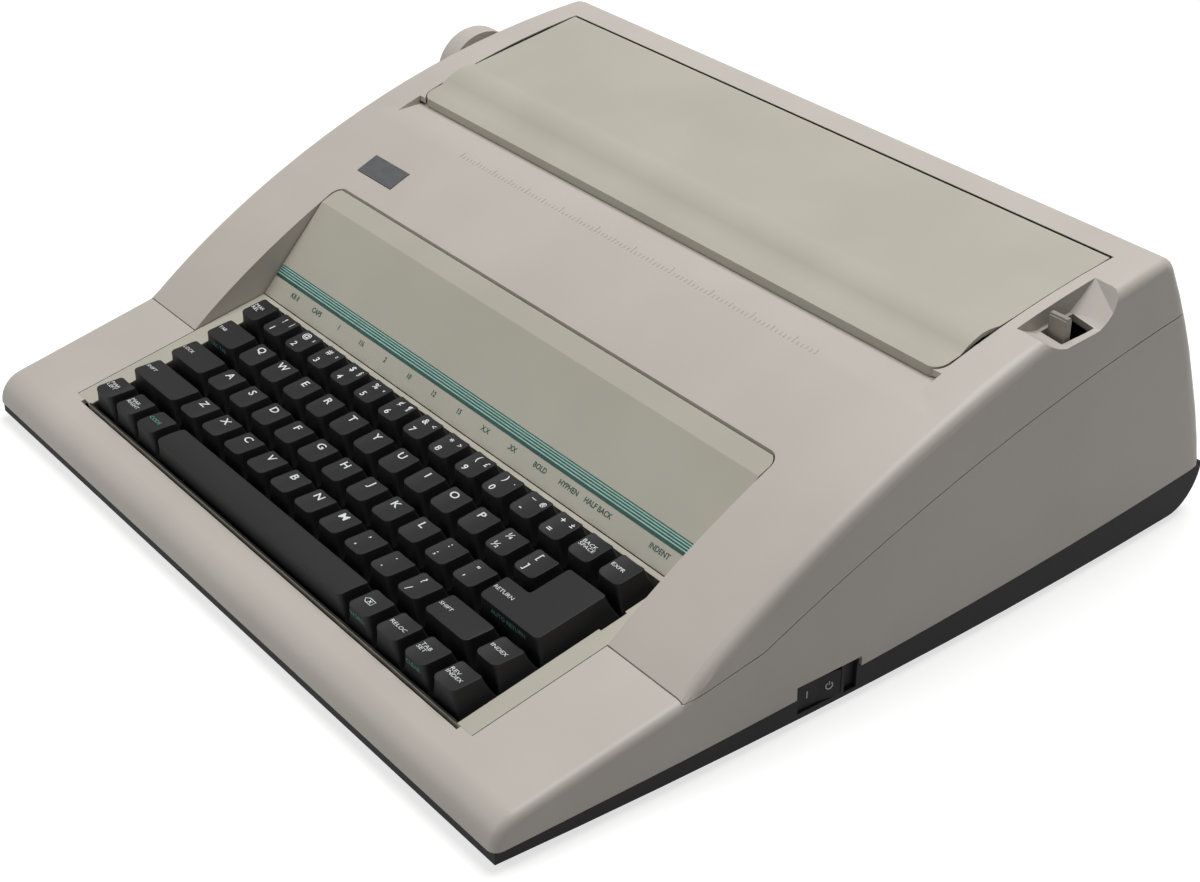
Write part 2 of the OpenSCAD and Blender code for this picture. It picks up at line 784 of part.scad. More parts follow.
module top_lid() {
    underside = [for (p = lid_top) [p.x, p.y - lid_thick]];
    color("#b3b0a2")
        placed() {
            intersection() {
                across(-lid_half, lid_half)
                    polygon(band(lid_top, concat([[lid_front_y, recess_floor + run_clear],
                        [lid_front_y + 2, recess_floor + run_clear]],
                        [for (i = [1 : len(underside) - 1]) underside[i]])));
                linear_extrude(far) {
                    rounded_rect(-lid_half, lid_half, lid_front_y, lid_rear_y - 5, lid_corner);
                    translate([-lid_half, lid_front_y + 20])
                        square([2 * lid_half, lid_rear_y - lid_front_y - 20]);
                }
            }
            both_sides() {
                box([lid_half - 8, hinge_y - 3, hinge_z - 2.4],
                    [lid_half - 0.2, lid_rear_y - 0.1, hinge_z + 1.2]);
                rod_x(lid_half - 4, hinge_boss_outer - 1.3, hinge_y, hinge_z, lid_pin_radius);
            }
        }
}

module power_rocker() {
    half = rocker_length / 2;
    color("#111112")
        placed()
            translate([rocker_axis_x, rocker_mid, 0])
                rotate([0, 0, -rocker_swing / 2]) {
                    translate([0, 0, rocker_low])
                        linear_extrude(rocker_high - rocker_low)
                            polygon([[-1.6, -3], [1.5, -half], [4.9, -half], [4.2, 0], [4.9, half],
                                [1.5, half], [-1.6, 3]]);
                    translate([0, 0, base_z + 1])
                        cylinder(h = rocker_low - base_z, r = lid_pin_radius);
                }
}

module mains_inlet() {
    mid = (inlet_low + inlet_high) / 2;
    color("#161617")
        placed() {
            difference() {
                box([inlet_x - inlet_half, inlet_face - 19, inlet_low],
                    [inlet_x + inlet_half, inlet_face, inlet_high]);
                box([inlet_x - inlet_half + 1.8, inlet_face - 16, inlet_low + 1.8],
                    [inlet_x + inlet_half - 1.8, far, inlet_high - 1.8]);
            }
            for (p = [[-7, -2], [0, 2], [7, -2]])
                box([inlet_x + p.x - 1, inlet_face - 17, mid + p.y - 2],
                    [inlet_x + p.x + 1, inlet_face - 6.5, mid + p.y + 2]);
        }
}

// Keys
function key_x(column) = (column - centre_column) * pitch;
function row_y(row) = row * pitch;
// Height, slope and middle of the plane that the tops of a row lie in
function row_plane(row) = row < 0
    ? [front_row_height, tan(front_row_fall), row_y(row) - top_forward]
    : [ROW_HEIGHT[row], tan(ROW_FALL[row]), row_y(row) - top_forward];
function bank_keys(i) = i < 10
    ? [for (row = [0 : 3]) [i + ROW_OFFSET[row] - 0.5, i + ROW_OFFSET[row] + 0.5, row]]
    : concat([for (row = [1 : 3]) [i + ROW_OFFSET[row] - 0.5, i + ROW_OFFSET[row] + 0.5, row]],
        [for (row = [2 : 3]) [i + 1 + ROW_OFFSET[row] - 0.5, i + 1 + ROW_OFFSET[row] + 0.5, row]]);
space_stem = 60;
return_left = 12;
function stem_xs(k) = let (x = key_x((k[0] + k[1]) / 2))
    k[1] - k[0] > 3 ? [x - space_stem, x, x + space_stem] : [x];
ALL_KEYS = concat([for (i = [0 : len(KEY_BANKS) - 1]) each bank_keys(i)],
    [for (k = FUNCTION_KEYS) [k[1], k[2], k[3]]]);

// One ring of a cap: its outline with clipped corners, raised to a plane that may slope
function raised(outline, plane) =
    [for (p = outline) [p.x, p.y, plane[0] + plane[1] * (plane[2] - p.y)]];
function box_outline(x0, x1, y0, y1, c) = [[x0 + c, y0], [x1 - c, y0], [x1, y0 + c], [x1, y1 - c],
    [x1 - c, y1], [x0 + c, y1], [x0, y1 - c], [x0, y0 + c]];
// Begins at the step's inner corner, from where all the others can be reached in a straight line
function step_outline(x0, ux0, x1, y0, y1, uy1, c) = [[ux0, y1], [x0 + c, y1], [x0, y1 - c],
    [x0, y0 + c], [x0 + c, y0], [x1 - c, y0], [x1, y0 + c],
    [x1, uy1 - c], [x1 - c, uy1], [ux0 + c, uy1], [ux0, uy1 - c]];

module rings(list) {
    count = len(list);
    side = len(list[0]);
    polyhedron(points = [for (l = list) each l],
        faces = concat([for (j = [1 : side - 2]) [0, j, j + 1]],
            [for (j = [1 : side - 2]) (count - 1) * side * [1, 1, 1] + [0, j + 1, j]],
            [for (i = [0 : count - 2], j = [0 : side - 1])
                [i * side + j, (i + 1) * side + j, (i + 1) * side + (j + 1) % side]],
            [for (i = [0 : count - 2], j = [0 : side - 1])
                [i * side + j, (i + 1) * side + (j + 1) % side, i * side + (j + 1) % side]]));
}

// The hollow is a little wider than the key's top, so that it leaves no flat rim
dish_spread = 1.04;
side_in = (cap_base - top_width) / 2;
front_in = (cap_base - top_depth) / 2 - top_forward;
back_in = (cap_base - top_depth) / 2 + top_forward;
waist = 0.62;
function skirt_plane(shrink) = [-cap_height - (shrink > 0 ? 1 : 0), 0, 0];
function waist_plane(shrink) = [-cap_height * 0.55 - shrink, 0, 0];
module cap_block(x0, x1, y0, y1, plane, shrink) {
    rings([for (r = [[0, 1.6, skirt_plane(shrink)], [waist, 1.8, waist_plane(shrink)],
        [1, 2.2, plane - [shrink, 0, 0]]])
        raised(box_outline(x0 + side_in * r[0] + shrink, x1 - side_in * r[0] - shrink,
            y0 + front_in * r[0] + shrink, y1 - back_in * r[0] - shrink, r[1]), r[2])]);
}

module step_block(x0, ux0, x1, y0, y1, uy1, plane, shrink) {
    rings([for (r = [[0, 1.6, skirt_plane(shrink)], [waist, 1.8, waist_plane(shrink)],
        [1, 2.2, plane - [shrink, 0, 0]]])
        raised(step_outline(x0 + side_in * r[0] + shrink, ux0 + side_in * r[0] + shrink,
            x1 - side_in * r[0] - shrink, y0 + front_in * r[0] + shrink, y1 - back_in * r[0] - shrink,
            uy1 - back_in * r[0] - shrink, r[1]), r[2])]);
}

function foot_x(edge, side) = key_x(edge) + side * (pitch - cap_base) / 2;

module key(k, dished) {
    plane = row_plane(k[2]);
    x0 = foot_x(k[0], 1);
    x1 = foot_x(k[1], -1);
    y0 = row_y(k[2]) - cap_base / 2;
    y1 = row_y(k[2]) + cap_base / 2;
    dish_half = dish_spread * ((x1 - x0) / 2 - side_in);
    dish_radius = (dish_half ^ 2 + dish_depth ^ 2) / (2 * dish_depth);
    difference() {
        cap_block(x0, x1, y0, y1, plane, 0);
        cap_block(x0, x1, y0, y1, plane, cap_wall);
        if (dished)
            translate([(x0 + x1) / 2, plane[2], plane[0]])
                rotate([90 - atan(plane[1]), 0, 0])
                    translate([0, dish_radius - dish_depth, -cap_base])
                        cylinder(h = 2 * cap_base, r = dish_radius, $fn = 360);
    }
    for (x = stem_xs(k))
        key_stem(x, row_y(k[2]), plane);
}

module key_stem(x, y, plane) {
    top = plane[0] + plane[1] * (plane[2] - y) - cap_wall + 0.1;
    translate([x, y, stem_low])
        cylinder(h = top - stem_low, r = stem_radius);
}

module key_bank(i) {
    color("#1d1d1f")
        in_keyboard()
            for (k = bank_keys(i))
                key(k, true);
}

module return_key(k) {
    x0 = foot_x(k[0], 1);
    x1 = foot_x(k[1], -1);
    ux0 = foot_x(return_left, 1);
    y0 = row_y(k[2]) - cap_base / 2;
    y1 = row_y(k[2]) + cap_base / 2;
    uy1 = row_y(k[2] + 1) + cap_base / 2;
    plane = [return_height, tan(return_fall), row_y(k[2] + 0.5)];
    difference() {
        step_block(x0, ux0, x1, y0, y1, uy1, plane, 0);
        step_block(x0, ux0, x1, y0, y1, uy1, plane, cap_wall);
    }
    for (row = [k[2], k[2] + 1])
        key_stem(key_x((return_left + k[1]) / 2), row_y(row), plane);
}

module function_key(f) {
    k = [f[1], f[2], f[3]];
    color("#1d1d1f")
        in_keyboard()
            if (f[0] == "key_return")
                return_key(k);
            else
                key(k, f[2] - f[1] < 1.2 && f[0] != "key_code");
}

module key_guide_plate() {
    color("#2a2b2d")
        in_keyboard()
            difference() {
                union() {
                    box([-tray_half, tray_low_y, guide_low], [tray_half, tray_high_y, guide_top]);
                    for (s = [-1, 1])
                        box([s * (tray_half - tray_wall / 2) - tray_wall / 2, tray_low_y, membrane_low],
                            [s * (tray_half - tray_wall / 2) + tray_wall / 2, tray_high_y, guide_low]);
                    for (y = [tray_low_y, tray_high_y - tray_wall])
                        box([-tray_half, y, membrane_low], [tray_half, y + tray_wall, guide_low]);
                }
                for (k = ALL_KEYS)
                    if (k[1] - k[0] == 2.25 && k[2] == 1)
                        for (r = [1, 2])
                            stem_hole(key_x((return_left + k[1]) / 2), row_y(r));
                    else
                        for (x = stem_xs(k))
                            stem_hole(x, row_y(k[2]));
            }
}

module stem_hole(x, y) {
    translate([x, y, guide_low - 1])
        cylinder(h = guide_thick + 2, r = stem_radius + stem_clear);
}

module switch_membrane() {
    inset = tray_wall + 0.3;
    color("#3c3a36")
        in_keyboard()
            box([-tray_half + inset, tray_low_y + inset, membrane_low],
                [tray_half - inset, tray_high_y - inset, membrane_top]);
}

// Printing mechanism
plate_outer = plate_inner + plate_thick;
plate_outline = [[216, floor_z], [312, floor_z], [312, 60], [293, 115], [262, 115], [240, 76], [216, 56]];
feed_radius = 6;
feed_gap = 0.3;
feed_angle = -62;
feed_centre = [platen_y, platen_z]
    + (platen_radius + feed_radius + feed_gap) * [cos(feed_angle), sin(feed_angle)];
feed_axle_radius = 2;
bail_radius = 3;
bail_angle = 145;
bail_centre = [platen_y, platen_z] + (platen_radius + bail_radius + 0.3) * [cos(bail_angle), sin(bail_angle)];
bail_pivot = [platen_y + 8, platen_z + 7.5];
lever_pivot = [platen_y - 2.5, 88];
lever_pin_radius = 3;
pinion_distance = gear_module * (platen_teeth + pinion_teeth) / 2 + 0.15;
pinion_angle = -135;
pinion_centre = [platen_y, platen_z] + pinion_distance * [cos(pinion_angle), sin(pinion_angle)];
// Direction from the platen to the pinion, in the plane of the gears' own drawing
mesh_angle = atan2(pinion_centre.x - platen_y, pinion_centre.y - platen_z);
motor_shaft_radius = 1.5;
gear_inner = plate_outer + 3;
gear_thick = 7;
motor_flange_x = gear_inner + gear_thick + 1.5;
standoffs = [pinion_centre + [-12, -8], pinion_centre + [6, -13]];
belt_y = 212;
belt_width = 6;
belt_thick = 1;
belt_z = 40;
belt_half = (plate_inner + carriage_travel) / 2 + 11;
idler_pin_radius = 2.5;

module chassis_frame() {
    color("#9b9d9f")
        placed() {
            both_sides()
                difference() {
                    union() {
                        across(plate_inner, plate_outer)
                            polygon(plate_outline);
                        box([plate_inner - 10, 216, floor_z], [plate_outer, 312, floor_z + plate_thick]);
                    }
                    rod_x(plate_inner - 1, plate_outer + 1, platen_y, platen_z, shaft_radius + pin_clear);
                    rod_x(plate_inner - 1, plate_outer + 1, feed_centre.x, feed_centre.y,
                        feed_axle_radius + pin_clear);
                    rod_x(plate_inner - 1, plate_outer + 1, bail_pivot.x, bail_pivot.y,
                        lid_pin_radius + pin_clear);
                    for (y = [rail_front_y, rail_rear_y])
                        rod_x(plate_inner - 1, plate_outer + 1, y, rail_z, rail_radius + pin_clear);
                }
            box([-plate_inner - bite, 304, floor_z], [plate_inner + bite, 306, 30]);
            rod_x(plate_outer - bite, slot_outer, lever_pivot.x, lever_pivot.y, lever_pin_radius);
            box([-belt_half - 8, 220, floor_z], [-belt_half + 4, 222, belt_z + 8]);
            rod_y(belt_y - 1, 220 + bite, -belt_half, belt_z, idler_pin_radius);
            box([-plate_inner - bite, 220, floor_z], [-belt_half - 7, 222, floor_z + 14]);
        }
}

module carriage_rails() {
    color("#c3c5c8")
        placed()
            for (y = [rail_front_y, rail_rear_y])
                rod_x(-plate_outer - 0.5, plate_outer + 0.5, y, rail_z, rail_radius);
}

module gear(teeth, thick, bore) {
    pitch_r = gear_module * teeth / 2;
    root_r = pitch_r - 1.2 * gear_module;
    tip_r = pitch_r + 0.9 * gear_module;
    foot = 0.85 * gear_module;
    flank = 0.62 * gear_module;
    crest = 0.32 * gear_module;
    difference() {
        linear_extrude(thick) {
            circle(root_r + bite);
            for (i = [0 : teeth - 1])
                rotate(360 * i / teeth)
                    polygon([[root_r - 0.4, -foot], [root_r, -foot], [pitch_r, -flank], [tip_r, -crest],
                        [tip_r, crest], [pitch_r, flank], [root_r, foot], [root_r - 0.4, foot]]);
        }
        translate([0, 0, -1])
            cylinder(h = thick + 2, r = bore);
    }
}

module platen() {
    placed() {
        color("#262627")
            difference() {
                rod_x(-platen_half, platen_half, platen_y, platen_z, platen_radius);
                rod_x(-far, far, platen_y, platen_z, shaft_radius + press_gap);
            }
        color("#c3c5c8")
            rod_x(-knob_reach + 4, plate_outer + 3, platen_y, platen_z, shaft_radius);
        color("#e4e0d4")
            translate([-gear_inner, platen_y, platen_z])
                rotate([0, -90, 0])
                    rotate(mesh_angle)
                        gear(platen_teeth, gear_thick, shaft_radius + press_gap);
    }
}

module platen_knob() {
    edge = 3;
    color("#b3aea4")
        placed()
            translate([-knob_inner, platen_y, platen_z])
                rotate([0, -90, 0])
                    difference() {
                        rotate_extrude($fn = 96)
                            difference() {
                                union() {
                                    square([knob_radius - edge, knob_length]);
                                    square([knob_radius, knob_length - edge]);
                                    translate([knob_radius - edge, knob_length - edge])
                                        circle(edge);
                                }
                                translate([-far, -far])
                                    square([far, 2 * far]);
                            }
                        translate([0, 0, -1])
                            cylinder(h = knob_length - 3, r = shaft_radius + press_gap);
                    }
}

module feed_pinion() {
    color("#e4e0d4")
        placed()
            translate([-gear_inner, pinion_centre.x, pinion_centre.y])
                rotate([0, -90, 0])
                    rotate(mesh_angle + 180 + 180 / pinion_teeth)
                        gear(pinion_teeth, gear_thick, motor_shaft_radius);
    color("#c3c5c8")
        placed()
            rod_x(-motor_flange_x - 6, -gear_inner + 1, pinion_centre.x, pinion_centre.y,
                motor_shaft_radius - press_gap);
}

module stepper_motors() {
    x1 = motor_flange_x;
    feed_body = 13;
    color("#55585c")
        placed() {
            difference() {
                union() {
                    rod_x(-x1 - 11, -x1, pinion_centre.x, pinion_centre.y, feed_body);
                    for (p = standoffs)
                        rod_x(-x1 - 2, -plate_outer, p.x, p.y, 2.5);
                }
                rod_x(-x1 - 7, far, pinion_centre.x, pinion_centre.y,
                    motor_shaft_radius + pin_clear - press_gap);
            }
            difference() {
                union() {
                    rod_y(belt_y - 27, belt_y - 4, belt_half, belt_z, 17);
                    box([belt_half - 12, belt_y - 26, floor_z], [belt_half + 12, belt_y - 5, belt_z]);
                }
                rod_y(belt_y - 15, belt_y, belt_half, belt_z, idler_pin_radius + pin_clear);
            }
        }
}

module belt_pulley() {
    color("#e4e0d4")
        placed() {
            difference() {
                rod_y(belt_y - 0.5, belt_y + belt_width + 0.5, belt_half, belt_z, pulley_radius);
                rod_y(0, far, belt_half, belt_z, idler_pin_radius + press_gap);
            }
            rod_y(belt_y - 14, belt_y + belt_width + 1, belt_half, belt_z, idler_pin_radius);
        }
}

module belt_idler() {
    color("#e4e0d4")
        placed()
            difference() {
                rod_y(belt_y - 0.5, belt_y + belt_width + 0.5, -belt_half, belt_z, pulley_radius);
                rod_y(0, far, -belt_half, belt_z, idler_pin_radius + pin_clear);
            }
}

module belt_loop(grow) {
    rounded = pulley_radius + 0.1 + grow;
    translate([-belt_half, -rounded])
        square([2 * belt_half, 2 * rounded]);
    for (s = [-1, 1])
        translate([s * belt_half, 0])
            circle(rounded);
}

module drive_belt() {
    color("#202022")
        placed()
            translate([0, belt_y + belt_width, belt_z])
                rotate([90, 0, 0])
                    linear_extrude(belt_width)
                        difference() {
                            belt_loop(belt_thick);
                            belt_loop(0);
                        }
}

feed_roller_xs = [-120, -45, 45, 120];
feed_roller_half = 14;

module feed_rollers() {
    color("#2b2b2c")
        placed() {
            for (x = feed_roller_xs)
                difference() {
                    rod_x(x - feed_roller_half, x + feed_roller_half, feed_centre.x, feed_centre.y,
                        feed_radius);
                    rod_x(-far, far, feed_centre.x, feed_centre.y, feed_axle_radius + press_gap);
                }
            rod_x(-plate_outer - 0.8, plate_outer + 0.8, feed_centre.x, feed_centre.y, feed_axle_radius);
        }
}

module paper_pan() {
    inner = platen_radius + 2.3;
    thick = 1;
    color("#a7a9ab")
        placed() {
            difference() {
                across(-plate_inner + run_clear, plate_inner - run_clear)
                    translate([platen_y, platen_z])
                        difference() {
                            circle(inner + thick);
                            circle(inner);
                            polygon([[0, 0], [40 * cos(-150), 40 * sin(-150)], [-40, 40], [40, 40],
                                [40 * cos(-12), 40 * sin(-12)]]);
                        }
                for (x = feed_roller_xs)
                    box([x - feed_roller_half - 1.5, platen_y, platen_z - 30],
                        [x + feed_roller_half + 1.5, platen_y + 20, platen_z - 9]);
            }
            across(-plate_inner + run_clear, plate_inner - run_clear)
                polygon([[platen_y + (inner + 0.1) * cos(-12), platen_z + (inner + 0.1) * sin(-12) - 0.2],
                    [platen_y + (inner + 1) * cos(-12), platen_z + (inner + 1) * sin(-12)],
                    [platen_y + 27, platen_z + 16], [platen_y + 25.8, platen_z + 16]]);
        }
}

module paper_bail() {
    arm_x = plate_inner - 3.5;
    color("#b8babd")
        placed() {
            rod_x(-arm_x - 0.5, arm_x + 0.5, bail_centre.x, bail_centre.y, 1.5);
            for (x = [-80, 0, 80])
                difference() {
                    rod_x(x - 8, x + 8, bail_centre.x, bail_centre.y, bail_radius);
                    rod_x(-far, far, bail_centre.x, bail_centre.y, 1.5 + press_gap);
                }
            both_sides() {
                across(arm_x, arm_x + 1.5) {
                    translate(bail_centre)
                        circle(2.5);
                    translate(bail_pivot)
                        circle(2.8);
                    translate(bail_pivot)
                        rotate(atan2(bail_centre.y - bail_pivot.y, bail_centre.x - bail_pivot.x))
                            translate([0, -2.3])
                                square([norm(bail_centre - bail_pivot), 4.6]);
                }
                rod_x(arm_x, plate_outer + 0.5, bail_pivot.x, bail_pivot.y, lid_pin_radius);
            }
        }
}

lever_x0 = 182.7;
lever_x1 = 191.5;

module paper_release_lever() {
    top = hood_z(platen_y - 2.5);
    hub = 6;
    color("#8f8d84")
        placed()
            difference() {
                union() {
                    box([lever_x0, lever_pivot.x - 1.6, lever_pivot.y],
                        [lever_x1, lever_pivot.x + 1.6, top - 1]);
                    box([lever_x0, lever_pivot.x - 1.1, top - 1 - bite],
                        [lever_x1, lever_pivot.x + 1.1, top]);
                    rod_x(lever_x0 - 6, lever_x1, lever_pivot.x, lever_pivot.y, hub);
                }
                rod_x(0, far, lever_pivot.x, lever_pivot.y, lever_pin_radius + pin_clear);
            }
}

carriage_half = 30;
motor_radius = 15.5;
shelf_low = 84;

module carriage() {
    color("#6c6f73")
        placed() {
            difference() {
                union() {
                    box([-carriage_half, 220, 34], [carriage_half, 254, 50]);
                    box([-19, 226, 50 - bite], [19, 254, shelf_low]);
                    box([-46, 208, shelf_low - bite], [46, 234, shelf_low + 2]);
                    box([-8, 238, shelf_low - bite], [8, 250, platen_z + 6]);
                    box([-8, belt_y - 0.5, belt_z + pulley_radius + belt_thick + 0.8], [8, 221, 52]);
                }
                for (y = [rail_front_y, rail_rear_y])
                    rod_x(-far, far, y, rail_z, rail_radius + 2 * pin_clear - 0.02);
                rod_y(229, far, 0, wheel_z, motor_radius);
                rod_y(0, far, 0, platen_z, 3 + pin_clear);
            }
        }
    color("#3d4043")
        placed() {
            rod_y(229, 254.5, 0, wheel_z, motor_radius - pin_clear);
            rod_y(254, wheel_y + 2.5, 0, wheel_z, 2);
        }
}

module daisy_wheel() {
    petals = 48;
    thick = 0.8;
    color("#1f2022")
        placed() {
            difference() {
                union() {
                    rod_y(wheel_y - 1.6, wheel_y + 1.6, 0, wheel_z, 9);
                    rod_y(wheel_y - thick / 2, wheel_y + thick / 2, 0, wheel_z, 14);
                    translate([0, wheel_y + thick / 2, wheel_z])
                        rotate([90, 0, 0])
                            for (i = [0 : petals - 1])
                                rotate(360 * i / petals + 90) {
                                    translate([13, -0.6, 0])
                                        cube([wheel_radius - 14, 1.2, thick]);
                                    translate([wheel_radius - 3.2, -1.1, 0])
                                        cube([3.2, 2.2, thick]);
                                }
                }
                rod_y(0, far, 0, wheel_z, 2 + pin_clear);
            }
        }
}

module print_hammer() {
    color("#c3c5c8")
        placed() {
            rod_y(235, 251, 0, platen_z, 3);
            rod_y(251 - bite, wheel_y - 3, 0, platen_z, 1.2);
        }
}

module ribbon_cassette() {
    low = shelf_low + 2;
    high = low + 11;
    ribbon_y = wheel_y + 2.6;
    color("#2d2f33")
        placed() {
            difference() {
                box([-48, 206, low], [48, 234, high]);
                for (s = [-1, 1])
                    translate([s * 24, 220, high - 2])
                        cylinder(h = 4, r = 9);
            }
            both_sides()
                box([36, 234 - bite, low + 2], [46, ribbon_y + 1, high]);
            box([-37, ribbon_y - 0.2, platen_z - 6.5], [37, ribbon_y + 0.2, high]);
        }
}

module main_board() {
    color("#2f5d3a")
        placed()
            box([board_low.x, board_low.y, board_z], [board_high.x, board_high.y, board_z + 1.6]);
    color("#1c1c1e")
        placed() {
            for (x = [-100, -40, 20, 80])
                box([x, 150, board_z + 1.6], [x + 36, 164, board_z + 5.6]);
            for (x = [-96, -70, -44])
                translate([x, 185, board_z + 1.6])
                    cylinder(h = 16, r = 6);
            box([40, 178, board_z + 1.6], [100, 184, board_z + 26]);
        }
}

module transformer() {
    low = [35.5 - body_half, case_depth - 59];
    high = [88.5 - body_half, case_depth - 25];
    color("#4a4c50")
        placed() {
            box([low.x, low.y + 6, floor_z], [high.x, high.y - 6, floor_z + 44]);
            box([low.x - 6, low.y + 10, floor_z], [high.x + 6, high.y - 10, floor_z + 2]);
            box([low.x + 10, low.y, floor_z + 6], [high.x - 10, high.y, floor_z + 38]);
        }
}

base_pan();
rubber_feet();
case_screws();
lower_case();
upper_cover();
keyboard_surround();
legend_panel();
badge_plate();
top_lid();
power_rocker();
mains_inlet();
key_guide_plate();
switch_membrane();
chassis_frame();
carriage_rails();
platen();
platen_knob();
feed_pinion();
stepper_motors();
feed_rollers();
paper_pan();
paper_bail();
paper_release_lever();
carriage();
daisy_wheel();
print_hammer();
ribbon_cassette();
drive_belt();
belt_pulley();
belt_idler();
main_board();
transformer();
for (i = [0 : len(KEY_BANKS) - 1])
    key_bank(i);
for (f = FUNCTION_KEYS)
    function_key(f);
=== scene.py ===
# %% [markdown]
# This lesson dresses an electronic typewriter. Its exact solids come from a maker's drawing, and
# they already stand where they belong. Blender adds what the drawing leaves out: rounded edges,
# sculpted key caps, printing, and the look of each material. Whatever we add is tied to the part
# that carries it, so that it still fits when a key goes down or the lid opens.

# %% Setting up
import json
import math
import bpy
import bmesh
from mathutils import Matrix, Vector

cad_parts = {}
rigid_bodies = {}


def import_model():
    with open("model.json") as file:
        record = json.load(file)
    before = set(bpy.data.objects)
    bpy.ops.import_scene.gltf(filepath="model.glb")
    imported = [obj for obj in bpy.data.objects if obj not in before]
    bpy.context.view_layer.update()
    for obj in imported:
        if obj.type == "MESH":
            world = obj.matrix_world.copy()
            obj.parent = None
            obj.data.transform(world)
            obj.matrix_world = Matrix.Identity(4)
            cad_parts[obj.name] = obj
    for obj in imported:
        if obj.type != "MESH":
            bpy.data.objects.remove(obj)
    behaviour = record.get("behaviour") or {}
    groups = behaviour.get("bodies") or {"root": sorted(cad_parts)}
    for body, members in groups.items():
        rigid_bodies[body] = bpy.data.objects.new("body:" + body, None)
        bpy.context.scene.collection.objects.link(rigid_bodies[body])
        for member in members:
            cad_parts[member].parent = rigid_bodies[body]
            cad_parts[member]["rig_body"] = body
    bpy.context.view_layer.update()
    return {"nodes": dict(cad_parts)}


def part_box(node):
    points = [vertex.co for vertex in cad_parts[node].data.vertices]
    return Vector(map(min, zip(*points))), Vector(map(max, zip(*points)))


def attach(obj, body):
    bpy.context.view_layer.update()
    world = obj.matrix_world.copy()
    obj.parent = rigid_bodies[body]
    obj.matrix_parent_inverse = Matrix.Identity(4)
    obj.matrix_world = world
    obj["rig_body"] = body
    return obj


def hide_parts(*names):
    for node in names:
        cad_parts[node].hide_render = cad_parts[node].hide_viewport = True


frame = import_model()

# %% [markdown]
# The maker's drawing counts from the front face and the middle of the typewriter, in
# millimetres. Blender counts in metres from the middle of the whole object's box. We could
# convert each number by hand, but one small function does it without slips, and every number
# below can be read straight off the drawing.

# %% From drawing to Blender
MM = 0.001
SHIFT_X, SHIFT_Y = 5.0, -188.5


def at(x, y, z):
    return Vector(((x + SHIFT_X) * MM, (y + SHIFT_Y) * MM, z * MM))


print("front middle of the case:", tuple(round(c, 4) for c in at(0, 0, 0)))

# %% [markdown]
# The keyboard slopes towards the typist. Working in the keyboard's own plane makes each key a
# simple upright shape: across the keys, up the slope, and out of the keyboard. The legend
# panel behind the keys has a steeper plane of its own, so it gets the same treatment.

# %% The sloping planes
TILT = math.radians(11.6)
HOME_Y, HOME_Z = 49.0, 36.0
PITCH = 19.05
PANEL_FOOT = Vector((118.2, 44.09))
PANEL_BEND = Vector((152.7, 81.7))


def on_keys(x, up, out):
    return at(x, HOME_Y + up * math.cos(TILT) - out * math.sin(TILT),
              HOME_Z + up * math.sin(TILT) + out * math.cos(TILT))


def on_panel(x, up, out):
    along = (PANEL_BEND - PANEL_FOOT).normalized()
    point = PANEL_FOOT + along * up + Vector((-along.y, along.x)) * out
    return at(x, point.x, point.y)


print("legend panel is", round((PANEL_BEND - PANEL_FOOT).length, 1), "mm up to its bend")

# %% [markdown]
# The hood's top follows one smooth curve from the legs at the keyboard to the upper rear edge.
# It is the same four-point curve as in the drawing, and we need it again to lay the raised
# paper scale and the lid's seal on the hood. Measuring the solid would do as well, but the curve
# gives a height at any place.

# %% The hood's curve
LEG_FOOT_Y, DECK_DROP = 81.0, 6.0
LEG_FOOT_Z = HOME_Z - DECK_DROP / math.cos(TILT) + math.tan(TILT) * (LEG_FOOT_Y - HOME_Y)
LEG_FOOT = Vector((LEG_FOOT_Y, LEG_FOOT_Z))
CROWN = Vector((328.5, 132.0))
LEG_ANGLE, CROWN_ANGLE = math.radians(39.6), math.radians(5.0)
LEG_REACH, CROWN_REACH = 40, 126
CURVE_STEPS = 24
SLOPE_REACH = 2
LID_FRONT = 223.5


def toward(angle):
    return Vector((math.cos(angle), math.sin(angle)))


HANDLES = [LEG_FOOT, LEG_FOOT + LEG_REACH * toward(LEG_ANGLE),
           CROWN - CROWN_REACH * toward(CROWN_ANGLE), CROWN]


def curve_point(share):
    """A point of the curve, from share 0 at the legs' feet to share 1 at the crown."""
    parts = [HANDLES[k] * math.comb(3, k) * share ** k * (1 - share) ** (3 - k) for k in range(4)]
    return sum(parts, Vector((0, 0)))


HOOD = [curve_point(i / CURVE_STEPS) for i in range(CURVE_STEPS + 1)]


def hood_z(y):
    """The height of the hood's top at a depth between the legs' feet and the crown."""
    a, b = next((a, b) for a, b in zip(HOOD, HOOD[1:]) if a.x <= y <= b.x)
    return a.y + (b.y - a.y) * (y - a.x) / (b.x - a.x)


def on_hood(x, y, out):
    slope = math.atan2(hood_z(y + SLOPE_REACH) - hood_z(y - SLOPE_REACH), 2 * SLOPE_REACH)
    return at(x, y - out * math.sin(slope), hood_z(y) + out * math.cos(slope))


print("hood's height at the lid's front edge:", round(hood_z(LID_FRONT), 1), "mm")

# %% [markdown]
# The camera comes before anything else, because the picture is judged from it. The place and
# the direction come from a pinhole camera that was fitted to the centres of the keys: keys
# stand 19.05 mm apart, which makes them a good ruler.

